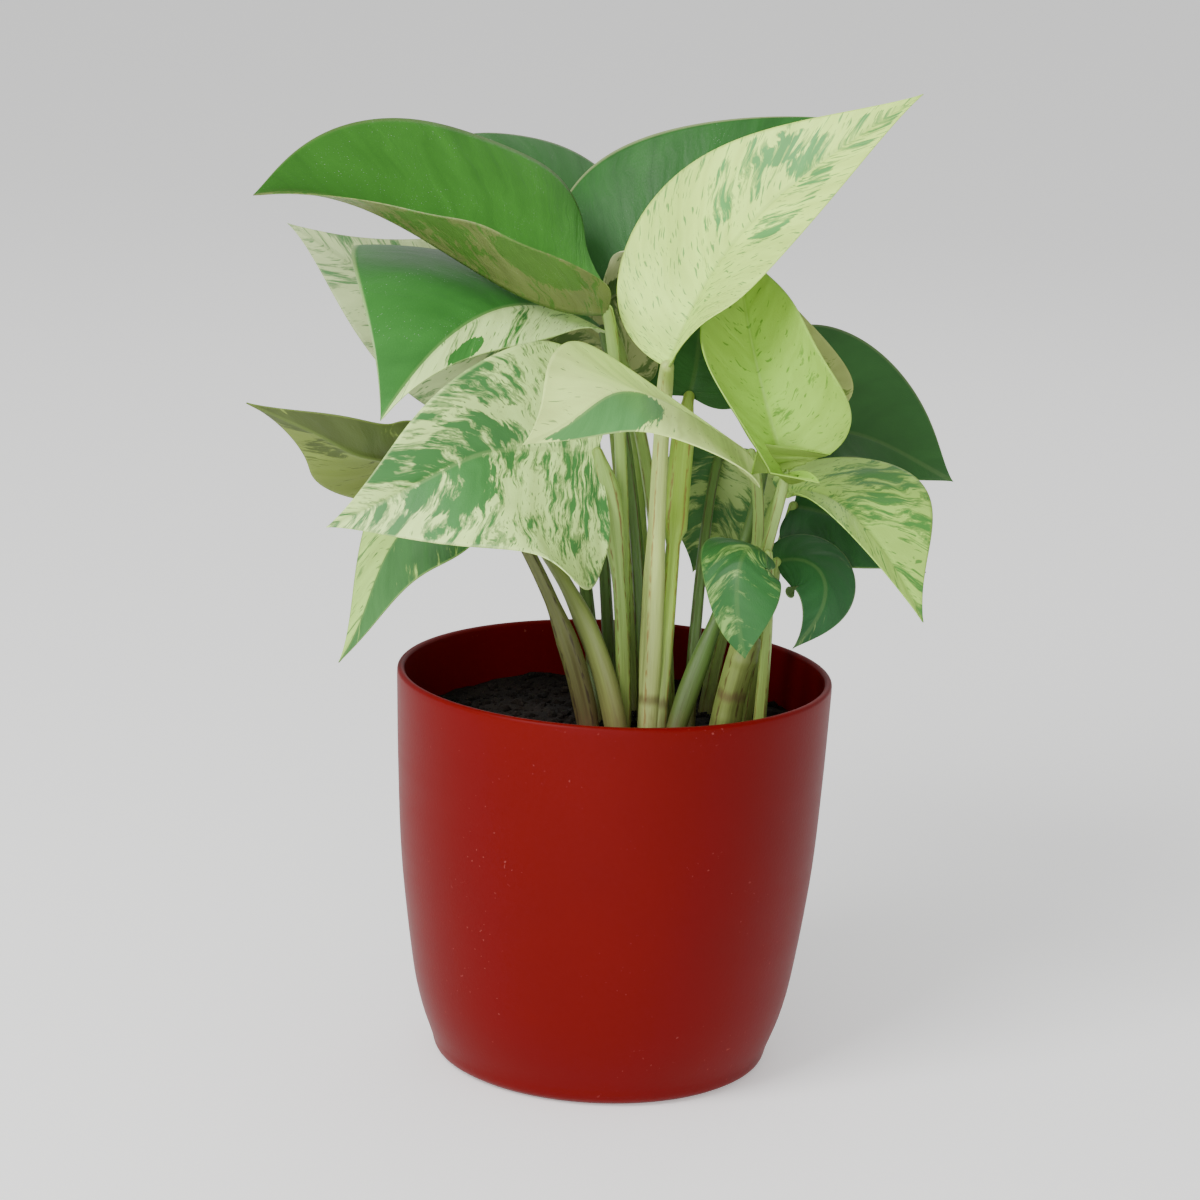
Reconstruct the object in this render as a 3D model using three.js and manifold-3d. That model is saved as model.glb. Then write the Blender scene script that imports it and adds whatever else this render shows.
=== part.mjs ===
// Marble queen pothos in a red plastic pot, standing on its foot.
// Millimetres, +Z up. The origin is the centre of the pot's underside.
// X runs to the right and Y away from the viewer who sees the plant's best side.
import * as THREE from 'three';
import { mergeVertices } from 'three/addons/utils/BufferGeometryUtils.js';
import Module from 'manifold-3d';

const wasm = await Module();
wasm.setup();

// Pot
const POT_HEIGHT = 105.5;
const RIM_RADIUS = 57.5;
const WALL = 2;
const LIP_ROUND = 0.9;
const FOOT_RADIUS = 42;
const FOOT_RING_WIDTH = 7;
const PAD_RADIUS = 12;
const RECESS = 1.5;
const FLOOR = 2.5;
const DRAIN_HOLES = 6;
const DRAIN_RADIUS = 3;
const DRAIN_CIRCLE = 23;
const DRAIN_SEGMENTS = 12;
const POT_SEGMENTS = 48;
// Outer radius at each height, from the foot's round edge to below the rim
const POT_SIDE = [[42, 0], [44.3, 1.6], [45.4, 5], [48.6, 14], [51.2, 26], [54.8, 53], [56.5, 79], [57.5, 103]];

// Soil
const SOIL_TOP = 89.5;
const SOIL_RISE = 1.5;
const SOIL_BOTTOM = 4.3;
const SOIL_GAP = 0.4;
const SOIL_SEGMENTS = 40;

// Leaf blades and stalks
const BLADE_THICKNESS = 0.7;
const RIB_DEPTH = 0.7;
const BLADE_ROWS = 11;
const BLADE_COLUMNS = 4;
const LOBE_AT = 0.07;
const FRAME_STEPS = 80;
const STALK_SIDES = 8;
const STALK_STEPS = 8;
const STALK_FOOT = 72;
const STALK_UPRIGHT = 104;
const HOLE_CLEARANCE = 0.4;

// Short vine stems beside the leaf stalks: points from foot to top, and the radius at both ends
const STEM_STEPS = 5;
const STEMS = [
  { name: 'stem_right', path: [[28, -12, 72], [28, -12, 88], [29, -12, 100], [34, -13, 118]], radius: [3.9, 3.6] },
];

const SHADES = {
  green: 0x4f9a3f,
  dark: 0x2f6b38,
  marbled: 0x8fbf7a,
  pale: 0xc9dfa0,
};

// Each leaf. midrib: base, two pull points and tip. face: the way its upper side looks at mid leaf.
// width: half width at base, middle and tip for the left and the right half, before the outline narrows it.
// fold: degrees that each half is lifted off flat, at base, middle and tip. curl: degrees more at the edge.
// lobe: how far each half reaches back past the base, in leaf lengths. wave: height, count, phase.
// root: where the stalk enters the soil. pull: the point that bends the stalk. radius: at soil and blade.
const LEAVES = [
  { name: 'leaf_01_upper_left', shade: 'green',
    midrib: [[-6, -8, 203], [-34, -12, 198], [-63, 10, 235], [-95, -32, 232]], face: [0.1, -0.5, 1],
    width: [[33, 34, 32], [39, 46, 48]], fold: [[60, 50, 40], [10, 25, 25]], curl: [0, -10],
    lobe: [0.04, 0.04], wave: [0.6, 3, 0], root: [3, 4], pull: [0, 6, 178], radius: [2.2, 1.4] },
  { name: 'leaf_02_back_left', shade: 'dark',
    midrib: [[-11, 54, 210], [-14, 68, 222], [-57, 74, 242], [-57, 90, 227]], face: [-0.2, -0.4, 1],
    width: [[22, 22, 22], [22, 22, 22]], fold: [[15, 10, 10], [10, 5, 15]], curl: [0, -10],
    lobe: [0.06, 0.06], wave: [0.5, 2, 0], root: [6, 14], pull: [0, 58, 150], radius: [2.2, 1.3] },
  { name: 'leaf_03_top_centre', shade: 'dark',
    midrib: [[-8, 29, 200], [4, 37, 203], [30, 45, 240], [57, 52, 248]], face: [-0.2, -0.8, 0.7],
    width: [[35, 32, 31], [31, 30, 29]], fold: [[10, 25, 15], [90, 25, 25]], curl: [-15, 0],
    lobe: [0.12, 0.04], wave: [0, 2, 0], root: [15, 4], pull: [10, 14, 165], radius: [2.3, 1.4] },
  { name: 'leaf_04_top_right', shade: 'pale',
    midrib: [[10, -9, 189], [21, 8, 217], [27, -15, 232], [72, -3, 261]], face: [-0.5, -1, 0.5],
    width: [[27, 25, 25], [23, 23, 23]], fold: [[10, 10, 20], [55, 25, 15]], curl: [0, 0],
    lobe: [0, 0.05], wave: [0, 2, 0], root: [9.5, -5], pull: [9, 14, 170], radius: [3, 1.8] },
  { name: 'leaf_05_mid_right', shade: 'pale',
    midrib: [[41.6, -13, 163.3], [41.6, -13, 161.3], [23.6, 1, 215], [30, 14, 217]], face: [0.2, -1, 0.3],
    width: [[22, 27, 26], [25, 28, 26]], fold: [[50, 25, 5], [5, 50, 0]], curl: [20, 20],
    lobe: [0.07, 0.04], wave: [0, 2, 0], root: [26, -2.5], pull: [38, -12, 135], radius: [2.2, 1.3] },
  { name: 'leaf_06_far_right', shade: 'dark',
    midrib: [[41, 52, 159], [62, 50, 168], [72, 53, 159], [90, 41, 152]], face: [0.3, -0.8, 0.4],
    width: [[33, 30, 28], [20, 22, 20]], fold: [[30, -10, 5], [5, 25, -20]], curl: [0, 10],
    lobe: [0.07, 0.06], wave: [0, 2, 0], root: [24, 17], pull: [34, 50, 120], radius: [2.2, 1.4] },
  { name: 'leaf_07_front_centre', shade: 'pale',
    midrib: [[33, -2, 166], [-12, -55, 204], [0, -48, 184], [-25, -70, 179]], face: [0, -0.7, 0.75],
    width: [[15, 28, 14], [0, 24, 53]], fold: [[-17, 1, -25], [-33, -33, 33]], curl: [11, 25],
    lobe: [0.05, 0.05], wave: [0, 2, 0], root: [27, 4], pull: [42, -2, 135], radius: [2.2, 1.3] },
  { name: 'leaf_08_front_left', shade: 'marbled',
    midrib: [[-7, -5, 165], [-46, -23, 170], [-34, -27, 167], [-75, -32, 148]], face: [0.1, -0.8, 0.3],
    width: [[48, 40, 33], [29, 28, 24]], fold: [[-15, 10, 5], [15, 40, 20]], curl: [20, 0],
    lobe: [0.09, 0.07], wave: [0, 2, 0], root: [3, -2.5], pull: [1, -4, 140], radius: [2.2, 1.4] },
  { name: 'leaf_09_low_right', shade: 'pale',
    midrib: [[42, 3, 155], [58, 5, 160], [70, -26, 145], [79, -20, 127]], face: [0.7, -0.8, 0.5],
    width: [[22, 25, 22], [15, 15, 13]], fold: [[5, 15, 10], [0, 10, 5]], curl: [0, 10],
    lobe: [0.06, 0.06], wave: [0, 2, 0], root: [33, 6], pull: [36, 16, 142], radius: [2.2, 1.3] },
  { name: 'leaf_10_mid_left', shade: 'green',
    midrib: [[-7, 9, 195], [-37, 5, 214], [-53, -36, 191], [-62, -32, 176]], face: [-0.3, -1, 0.3],
    width: [[12, 15, 10], [37, 52, 46]], fold: [[35, 5, 30], [-25, 10, 30]], curl: [5, -35],
    lobe: [0.05, 0.02], wave: [0, 2, 0], root: [9, 2], pull: [4, 12, 160], radius: [2.2, 1.3] },
  { name: 'leaf_11_behind_left', shade: 'marbled',
    midrib: [[-18, 53, 187], [-57, 47, 187], [-76, 41, 207], [-93, 41, 215]], face: [-0.2, -1, 0.4],
    width: [[30, 27, 24], [22, 22, 18]], fold: [[5, 5, -5], [5, 0, 0]], curl: [0, 0],
    lobe: [0.05, 0.05], wave: [0, 2, 0], root: [-3, 1], pull: [-14, 50, 140], radius: [2.2, 1.3] },
  { name: 'leaf_12_inner', shade: 'dark',
    midrib: [[0, 36, 178], [-6, 36, 191], [-20, 42, 195], [-34, 48, 187]], face: [0.2, 0.9, 0.4],
    width: [[14, 14, 12], [14, 14, 12]], fold: [[10, 10, 0], [10, 10, 0]], curl: [0, 0],
    lobe: [0.12, 0.12], wave: [0, 2, 0], root: [9, 8.5], pull: [6, 22, 150], radius: [1.9, 1.2] },
  { name: 'leaf_13_far_left', shade: 'dark',
    midrib: [[-43, 19, 155], [-85, 9, 159], [-60, 4, 159], [-99, 2, 173]], face: [0.4, 0.9, 0.5],
    width: [[17, 18, 15], [18, 18, 14]], fold: [[5, 10, -5], [10, -5, 10]], curl: [0, -10],
    lobe: [0.03, 0.03], wave: [0, 2, 0], root: [3, -9.5], pull: [-14, 2, 140], radius: [2.5, 1.3] },
  { name: 'leaf_14_low_left', shade: 'marbled',
    midrib: [[-37, -4, 158], [-68, -8, 143], [-61, -7, 125], [-72, -17, 109]], face: [-0.5, -0.9, 0.4],
    width: [[19, 18, 17], [19, 18, 17]], fold: [[-5, 15, 5], [25, -25, -10]], curl: [-5, 0],
    lobe: [0.06, 0.06], wave: [0, 2, 0], root: [-4.5, -7], pull: [-20, -6, 135], radius: [2.5, 1.4] },
  { name: 'leaf_15_small_curled', shade: 'green',
    midrib: [[38, -18, 143], [29, -26, 152], [28, -32, 135], [33, -31, 118]], face: [-0.2, -0.9, 0.5],
    width: [[8, 14, 31], [25, 11, 25]], fold: [[-10, -10, 0], [-10, -10, 0]], curl: [-20, -10],
    lobe: [0.1, 0.1], wave: [0.8, 2, 0], root: [38, -11], pull: [40, -19, 122], radius: [2, 1.2] },
  { name: 'leaf_16_small_drooping', shade: 'dark',
    midrib: [[41, -5, 138], [51, -3, 142], [62, -8, 133], [46, -14, 117]], face: [0.5, -0.6, 0.6],
    width: [[12, 13, 12], [13, 12, 9]], fold: [[-10, -10, 0], [-10, -10, 0]], curl: [0, 0],
    lobe: [0.05, 0.05], wave: [0, 2, 0], root: [34, -1], pull: [40, -4, 122], radius: [2, 1.2] },
  { name: 'leaf_17_dark_low_right', shade: 'dark',
    midrib: [[46, 24, 147], [58, 18, 147], [68, 15, 143], [82, 16, 132]], face: [0.2, -0.7, 0.6],
    width: [[20, 20, 18], [20, 20, 18]], fold: [[5, 0, 0], [5, 5, 0]], curl: [0, 10],
    lobe: [0.05, 0.05], wave: [0, 2, 0], root: [27, 11], pull: [42, 22, 125], radius: [2.1, 1.3] },
  { name: 'leaf_18_inner_low', shade: 'dark',
    midrib: [[26, 32, 159], [26, 32, 152], [24, 31, 138], [20, 30, 126]], face: [0, -1, 0.3],
    width: [[17, 17, 15], [17, 17, 15]], fold: [[10, 0, 0], [10, 0, 0]], curl: [0, 0],
    lobe: [0.1, 0.1], wave: [0, 2, 0], root: [20, 2], pull: [22, 20, 150], radius: [2, 1.2] },
  { name: 'leaf_19_inner_high', shade: 'dark',
    midrib: [[17, 38, 173], [20, 43, 184], [20, 54, 197], [18, 66, 209]], face: [0, -1, 0.4],
    width: [[22, 22, 20], [22, 22, 20]], fold: [[10, 0, 0], [10, 0, 0]], curl: [0, 0],
    lobe: [0.08, 0.08], wave: [0, 2, 0], root: [16, -3], pull: [14, 8, 165], radius: [2.5, 1.5] },
  { name: 'leaf_20_behind_right', shade: 'marbled',
    midrib: [[38, 19, 168], [36, 21, 182], [38, 22, 195], [35, 24, 210]], face: [0, 0.9, 0.2],
    width: [[24, 22, 18], [9, 11, 14]], fold: [[10, 0, 0], [10, 0, 0]], curl: [0, 0],
    lobe: [0.04, 0.05], wave: [1, 2.5, 0], root: [14, -10], pull: [36, 6, 130], radius: [2.4, 1.3] },
  { name: 'leaf_21_behind_upper_left', shade: 'marbled',
    midrib: [[-12, 61, 189], [-32, 66, 207], [-53, 69, 207], [-68, 74, 181]], face: [-0.2, -0.9, 0.5],
    width: [[16, 16, 14], [16, 16, 14]], fold: [[10, 0, 0], [10, 0, 0]], curl: [0, 0],
    lobe: [0.06, 0.06], wave: [0, 2, 0], root: [0, 10], pull: [-6, 58, 140], radius: [2, 1.2] },
];

// Value at s of the curve through three values set at 0, 0.5 and 1
function three(values, s) {
  const [start, middle, end] = values;
  return start * (1 - s) * (1 - 2 * s) + 4 * middle * s * (1 - s) + end * s * (2 * s - 1);
}

function vector(point) {
  return new THREE.Vector3(...point);
}

// Evenly spaced frames along a midrib: its points, directions and upper-side normals, carried without twist
function midribFrames(leaf) {
  const curve = new THREE.CubicBezierCurve3(...leaf.midrib.map(vector));
  const points = [];
  const tangents = [];
  for (let i = 0; i <= FRAME_STEPS; i += 1) {
    points.push(curve.getPointAt(i / FRAME_STEPS));
    tangents.push(curve.getTangentAt(i / FRAME_STEPS));
  }
  const square = (normal, tangent) => normal.clone().addScaledVector(tangent, -normal.dot(tangent)).normalize();
  const middle = FRAME_STEPS / 2;
  const normals = [];
  normals[middle] = square(vector(leaf.face), tangents[middle]);
  for (let i = middle; i < FRAME_STEPS; i += 1) normals[i + 1] = square(normals[i], tangents[i + 1]);
  for (let i = middle; i > 0; i -= 1) normals[i - 1] = square(normals[i], tangents[i - 1]);
  return { points, tangents, normals, length: curve.getLength() };
}

function sample(list, s) {
  const at = Math.min(Math.max(s, 0), 1) * FRAME_STEPS;
  const low = Math.min(Math.floor(at), FRAME_STEPS - 1);
  return list[low].clone().lerp(list[low + 1], at - low);
}

// A point of the blade's upper face. side: 0 left, 1 right. u: 0 base to 1 tip. v: 0 midrib to 1 margin.
// The veins leave the midrib at u and bend towards the tip, and the lobes reach back past the base.
function bladePoint(leaf, frames, side, u, v) {
  const lobeShape = (u / LOBE_AT) * Math.exp(1 - u / LOBE_AT);
  const marginAt = u ** 1.05 - leaf.lobe[side] * lobeShape;
  const veinAt = u ** 1.9;
  const along = veinAt + (marginAt - veinAt) * v ** 1.35;
  const inside = Math.min(Math.max(along, 0), 1);
  const reach = Math.sin(Math.PI * u ** 0.6) ** 1.2 * v;
  const normal = sample(frames.normals, inside).normalize();
  const across = normal.clone().cross(sample(frames.tangents, inside)).normalize();
  const point = sample(frames.points, inside);
  point.addScaledVector(frames.tangents[0], Math.min(along, 0) * frames.length);
  const lift = THREE.MathUtils.degToRad(three(leaf.fold[side], inside) + leaf.curl[side] * reach);
  const out = reach * three(leaf.width[side], u);
  const [height, count, phase] = leaf.wave;
  const angle = 2 * Math.PI * count * along + THREE.MathUtils.degToRad(phase) + (side === 0 ? 0 : 1.9);
  const wave = height * Math.sin(angle) * reach ** 2;
  point.addScaledVector(across, (side === 0 ? 1 : -1) * out * Math.cos(lift));
  point.addScaledVector(normal, out * Math.sin(lift) + wave);
  return point;
}

// Closed solid from points and triangles
function solid(points, triangles) {
  const vertProperties = new Float32Array(points.flatMap((p) => [p.x, p.y, p.z]));
  const triVerts = new Uint32Array(triangles.flat());
  return new wasm.Manifold(new wasm.Mesh({ numProp: 3, vertProperties, triVerts }));
}

// The blade: one grid of upper points, the same grid moved inwards for the lower face, and a rim between them
function bladeSolid(leaf, frames) {
  const columns = 2 * BLADE_COLUMNS + 1;
  const rowAt = (i) => (i / BLADE_ROWS) ** 1.25;
  const columnPoint = (u, j) => {
    const offset = BLADE_COLUMNS - j;
    return bladePoint(leaf, frames, offset >= 0 ? 0 : 1, u, Math.abs(offset) / BLADE_COLUMNS);
  };
  const grid = [];
  for (let i = 1; i < BLADE_ROWS; i += 1) {
    for (let j = 0; j < columns; j += 1) grid.push(columnPoint(rowAt(i), j));
  }
  const base = frames.points[0].clone();
  const tip = frames.points[FRAME_STEPS].clone();
  const upper = [base, ...grid, tip];
  const at = (i, j) => {
    if (i <= 0) return 0;
    if (i >= BLADE_ROWS) return upper.length - 1;
    return 1 + (i - 1) * columns + j;
  };
  const face = [];
  for (let i = 0; i < BLADE_ROWS; i += 1) {
    for (let j = 0; j + 1 < columns; j += 1) {
      if (i < BLADE_ROWS - 1) face.push([at(i, j), at(i + 1, j + 1), at(i + 1, j)]);
      if (i > 0) face.push([at(i, j), at(i, j + 1), at(i + 1, j + 1)]);
    }
  }
  const normals = upper.map(() => new THREE.Vector3());
  for (const [a, b, c] of face) {
    const normal = upper[b].clone().sub(upper[a]).cross(upper[c].clone().sub(upper[a]));
    for (const index of [a, b, c]) normals[index].add(normal);
  }
  const lower = upper.map((point, index) => {
    const middle = index > 0 && index < upper.length - 1 && (index - 1) % columns === BLADE_COLUMNS;
    const depth = BLADE_THICKNESS + (middle ? RIB_DEPTH * (1 - index / upper.length) : 0);
    return point.clone().addScaledVector(normals[index].normalize(), -depth);
  });
  const count = upper.length;
  const triangles = [...face, ...face.map(([a, b, c]) => [a + count, c + count, b + count])];
  for (const j of [0, columns - 1]) {
    for (let i = 0; i < BLADE_ROWS; i += 1) {
      const [a, b] = j === 0 ? [at(i, j), at(i + 1, j)] : [at(i + 1, j), at(i, j)];
      triangles.push([a, b, b + count], [a, b + count, a + count]);
    }
  }
  return solid([...upper, ...lower], triangles);
}

// Tapered round bar along points, with a small extra ring beyond its end so that the end is rounded
function barSolid(points, tangents, radii) {
  const rings = [];
  let side = new THREE.Vector3(0, 1, 0);
  points.forEach((point, i) => {
    side = side.clone().addScaledVector(tangents[i], -side.dot(tangents[i])).normalize();
    const other = tangents[i].clone().cross(side);
    for (let k = 0; k < STALK_SIDES; k += 1) {
      const angle = (2 * Math.PI * k) / STALK_SIDES;
      const spoke = side.clone().multiplyScalar(Math.cos(angle)).addScaledVector(other, Math.sin(angle));
      rings.push(point.clone().addScaledVector(spoke, radii[i]));
    }
  });
  const triangles = [];
  for (let i = 0; i + 1 < points.length; i += 1) {
    for (let k = 0; k < STALK_SIDES; k += 1) {
      const next = (k + 1) % STALK_SIDES;
      const [a, b] = [i * STALK_SIDES + k, i * STALK_SIDES + next];
      triangles.push([a, b, b + STALK_SIDES], [a, b + STALK_SIDES, a + STALK_SIDES]);
    }
  }
  const last = (points.length - 1) * STALK_SIDES;
  for (let k = 1; k + 1 < STALK_SIDES; k += 1) {
    triangles.push([0, k + 1, k], [last, last + k, last + k + 1]);
  }
  return solid(rings, triangles);
}

function taperedBar(curve, radius, steps) {
  const points = [];
  const tangents = [];
  const radii = [];
  for (let i = 0; i <= steps; i += 1) {
    const t = i / steps;
    points.push(curve.getPoint(t));
    tangents.push(curve.getTangent(t));
    radii.push(radius[0] + (radius[1] - radius[0]) * t);
  }
  const end = points[steps].clone().addScaledVector(tangents[steps], 0.7 * radius[1]);
  return barSolid([...points, end], [...tangents, tangents[steps]], [...radii, 0.6 * radius[1]]);
}

function stalkCurve(leaf) {
  const [x, y] = leaf.root;
  return new THREE.CubicBezierCurve3(
    new THREE.Vector3(x, y, STALK_FOOT),
    new THREE.Vector3(x, y, STALK_UPRIGHT),
    vector(leaf.pull),
    vector(leaf.midrib[0]),
  );
}

function stemCurve(stem) {
  return new THREE.CubicBezierCurve3(...stem.path.map(vector));
}

// What is taken out of the soil for one stalk or stem: its foot, a little wider and a little deeper
function footHole(curve, radius, steps) {
  const points = [curve.getPoint(0).setZ(STALK_FOOT - HOLE_CLEARANCE)];
  const tangents = [curve.getTangent(0)];
  const radii = [radius[0] + HOLE_CLEARANCE];
  for (let i = 1; points[points.length - 1].z < SOIL_TOP + SOIL_RISE + 1; i += 1) {
    points.push(curve.getPoint(i / steps));
    tangents.push(curve.getTangent(i / steps));
    radii.push(radius[0] + ((radius[1] - radius[0]) * i) / steps + HOLE_CLEARANCE);
  }
  return barSolid(points, tangents, radii);
}

function leafSolid(leaf) {
  return bladeSolid(leaf, midribFrames(leaf)).add(taperedBar(stalkCurve(leaf), leaf.radius, STALK_STEPS));
}

// Solid of revolution about Z from its closed outline of [radius, height], both ends on the axis
function turned(outline, segments) {
  const geometry = new THREE.LatheGeometry(outline.map(([r, z]) => new THREE.Vector2(r, z)), segments);
  geometry.rotateX(Math.PI / 2);
  geometry.deleteAttribute('normal');
  geometry.deleteAttribute('uv');
  const merged = mergeVertices(geometry, 1e-4);
  const position = merged.attributes.position;
  const points = [];
  for (let i = 0; i < position.count; i += 1) points.push(new THREE.Vector3().fromBufferAttribute(position, i));
  const triangles = [];
  for (let i = 0; i < merged.index.count; i += 3) {
    const [a, b, c] = [0, 1, 2].map((k) => merged.index.getX(i + k));
    if (a !== b && b !== c && c !== a) triangles.push([a, b, c]);
  }
  return solid(points, triangles);
}

// Inner radius of the pot at a height
function potInside(z) {
  const above = POT_SIDE.findIndex(([, height]) => height >= z);
  const [[r0, z0], [r1, z1]] = [POT_SIDE[above - 1], POT_SIDE[above]];
  return r0 + ((r1 - r0) * (z - z0)) / (z1 - z0) - WALL;
}

function potSolid() {
  const floorTop = RECESS + FLOOR;
  const ringInside = FOOT_RADIUS - FOOT_RING_WIDTH;
  const underside = [
    [0, 0],
    [PAD_RADIUS, 0],
    [PAD_RADIUS + 0.8, RECESS],
    [ringInside - 0.8, RECESS],
    [ringInside, 0],
  ];
  const lip = [
    [RIM_RADIUS, POT_HEIGHT - LIP_ROUND],
    [RIM_RADIUS - 0.3, POT_HEIGHT - 0.3],
    [RIM_RADIUS - LIP_ROUND, POT_HEIGHT],
    [RIM_RADIUS - WALL + 0.5, POT_HEIGHT],
    [RIM_RADIUS - WALL, POT_HEIGHT - 0.5],
  ];
  const inside = POT_SIDE.filter(([, z]) => z > floorTop + 5).reverse().map(([r, z]) => [r - WALL, z]);
  const floor = [
    [potInside(floorTop + 4), floorTop + 4],
    [potInside(floorTop + 4) - 1.2, floorTop + 1.2],
    [potInside(floorTop + 4) - 4, floorTop],
    [0, floorTop],
  ];
  let pot = turned([...underside, ...POT_SIDE, ...lip, ...inside, ...floor], POT_SEGMENTS);
  const drill = turned([[0, -1], [DRAIN_RADIUS, -1], [DRAIN_RADIUS, floorTop + 1], [0, floorTop + 1]], DRAIN_SEGMENTS);
  for (let i = 0; i < DRAIN_HOLES; i += 1) {
    const angle = (2 * Math.PI * (i + 0.5)) / DRAIN_HOLES;
    pot = pot.subtract(drill.translate([DRAIN_CIRCLE * Math.cos(angle), DRAIN_CIRCLE * Math.sin(angle), 0]));
  }
  return pot;
}

function soilSolid(footHoles) {
  const heights = POT_SIDE.map(([, z]) => z).filter((z) => z > SOIL_BOTTOM + 4 && z < SOIL_TOP - 2);
  const side = [SOIL_BOTTOM + 4, ...heights, SOIL_TOP].map((z) => [potInside(z) - SOIL_GAP, z]);
  const outline = [
    [0, SOIL_BOTTOM],
    [side[0][0] - 4, SOIL_BOTTOM],
    ...side,
    [side[0][0], SOIL_TOP + SOIL_RISE * 0.6],
    [0, SOIL_TOP + SOIL_RISE],
  ];
  return turned(outline, SOIL_SEGMENTS).subtract(wasm.Manifold.union(footHoles));
}

function node(name, shape, material) {
  const { vertProperties, triVerts } = shape.getMesh();
  const geometry = new THREE.BufferGeometry();
  geometry.setAttribute('position', new THREE.BufferAttribute(new Float32Array(vertProperties), 3));
  geometry.setIndex(new THREE.BufferAttribute(new Uint32Array(triVerts), 1));
  geometry.computeVertexNormals();
  const mesh = new THREE.Mesh(geometry, material);
  mesh.name = name;
  return mesh;
}

function buildPlant() {
  const red = new THREE.MeshStandardMaterial({ color: 0xa81410, roughness: 0.42, metalness: 0 });
  const earth = new THREE.MeshStandardMaterial({ color: 0x1f1916, roughness: 0.95, metalness: 0 });
  const bark = new THREE.MeshStandardMaterial({ color: 0x8f8a55, roughness: 0.6, metalness: 0 });
  const holes = [
    ...LEAVES.map((leaf) => footHole(stalkCurve(leaf), leaf.radius, STALK_STEPS)),
    ...STEMS.map((stem) => footHole(stemCurve(stem), stem.radius, STEM_STEPS)),
  ];
  const plant = new THREE.Group();
  plant.name = 'potted_pothos';
  plant.add(node('pot', potSolid(), red));
  plant.add(node('soil', soilSolid(holes), earth));
  for (const stem of STEMS) {
    plant.add(node(stem.name, taperedBar(stemCurve(stem), stem.radius, STEM_STEPS), bark));
  }
  for (const leaf of LEAVES) {
    const green = new THREE.MeshStandardMaterial({ color: SHADES[leaf.shade], roughness: 0.38, metalness: 0 });
    plant.add(node(leaf.name, leafSolid(leaf), green));
  }
  return plant;
}

export default buildPlant();
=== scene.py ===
import bpy
import math
import numpy as np
from mathutils import Matrix, Vector


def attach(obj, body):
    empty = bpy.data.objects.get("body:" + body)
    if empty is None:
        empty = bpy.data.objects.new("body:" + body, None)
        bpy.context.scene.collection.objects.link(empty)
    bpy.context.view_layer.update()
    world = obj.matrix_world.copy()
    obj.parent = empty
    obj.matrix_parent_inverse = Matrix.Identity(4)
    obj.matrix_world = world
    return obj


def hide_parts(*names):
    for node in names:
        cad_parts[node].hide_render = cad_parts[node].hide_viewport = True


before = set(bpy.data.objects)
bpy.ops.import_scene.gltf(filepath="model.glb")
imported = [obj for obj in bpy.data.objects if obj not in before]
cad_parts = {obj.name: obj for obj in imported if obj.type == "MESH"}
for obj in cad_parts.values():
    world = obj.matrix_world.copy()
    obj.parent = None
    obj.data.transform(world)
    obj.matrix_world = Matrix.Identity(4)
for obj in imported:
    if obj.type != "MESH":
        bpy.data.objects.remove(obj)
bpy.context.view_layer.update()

MM = 0.001

# Camera: the point it looks at, its distance, its pitch and roll in degrees, and its lens. They follow a fit
# to the pot's edges in the photo.
AIM = (-4.7, 0, 124.5)
CAMERA_DISTANCE = 1000
CAMERA_PITCH = 13.45
CAMERA_ROLL = 2.43
CAMERA_LENS = 113.94
CAMERA_SENSOR = 36

# Pot
POT_HEIGHT = 105.5
RIM_RADIUS = 57.5
WALL = 2
RING_INSIDE = 35
PAD_RADIUS = 12
RECESS = 1.5
FLOOR_TOP = 4
DRAIN_HOLES = 6
DRAIN_RADIUS = 3
DRAIN_CIRCLE = 23
# Outer radius and height, from the foot's round edge to below the rim
POT_SIDE = [[42, 0], [44.3, 1.6], [45.4, 5], [48.6, 14], [51.2, 26], [54.8, 53], [56.5, 79], [57.5, 103]]
SIDE_BOTTOM = 5
SIDE_TOP = 103
SIDE_RINGS = 36
SIDE_STEPS = 8
FOOT_STEPS = 4
INSIDE_TOP = 102
INSIDE_BOTTOM = 9
INSIDE_RINGS = 30
FLOOR_CORNER = 8
LIP_RINGS = 13
POT_SEGMENTS = 160
DRILL_SEGMENTS = 32

# Soil: a rumpled top, and a body that follows the pot's inner wall at the heights of its rings
SOIL_TOP = 90
SOIL_BOTTOM = 4.3
SOIL_GAP = 0.4
SOIL_RINGS = 64
SOIL_SEGMENTS = 144
SOIL_WALL_HEIGHTS = [SOIL_TOP - 3, 79, 53, 26, 14, 9]
SOIL_CORNER = 4
# Length and height of the waves of uneven ground, and the turn from one to the next
GROUND_WAVES = ((31, 0.8), (17, 0.55), (9, 0.35), (5.3, 0.22), (3.1, 0.15))
GROUND_TURN = 2.4
# Crumbs: how many, the seed of their random draws, their sizes and their gap to the wall in millimetres, and
# their lift and flatness as shares of their size
CRUMBS = 1500
CRUMB_SEED = 7
CRUMB_SMALLEST = 0.35
CRUMB_RANGE = 1.25
CRUMB_EDGE_GAP = 2.2
CRUMB_LIFT = 0.25
CRUMB_FLATNESS = 0.7

# Leaf blades: how the side veins bend, how the width runs from base to tip, and where the lobe lies
VEIN_POWER = 1.9
MARGIN_POWER = 1.05
BEND_POWER = 1.35
REACH_SHIFT = 0.6
REACH_POWER = 1.2
LOBE_AT = 0.07
RIGHT_WAVE_SHIFT = 1.9
FRAME_STEPS = 80
BLADE_ROWS = 76
ROW_POWER = 1.25
HALF_COLUMNS = 26
BLADE_THICKNESS = 0.45
MARGIN_THICKNESS = 0.26
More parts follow.
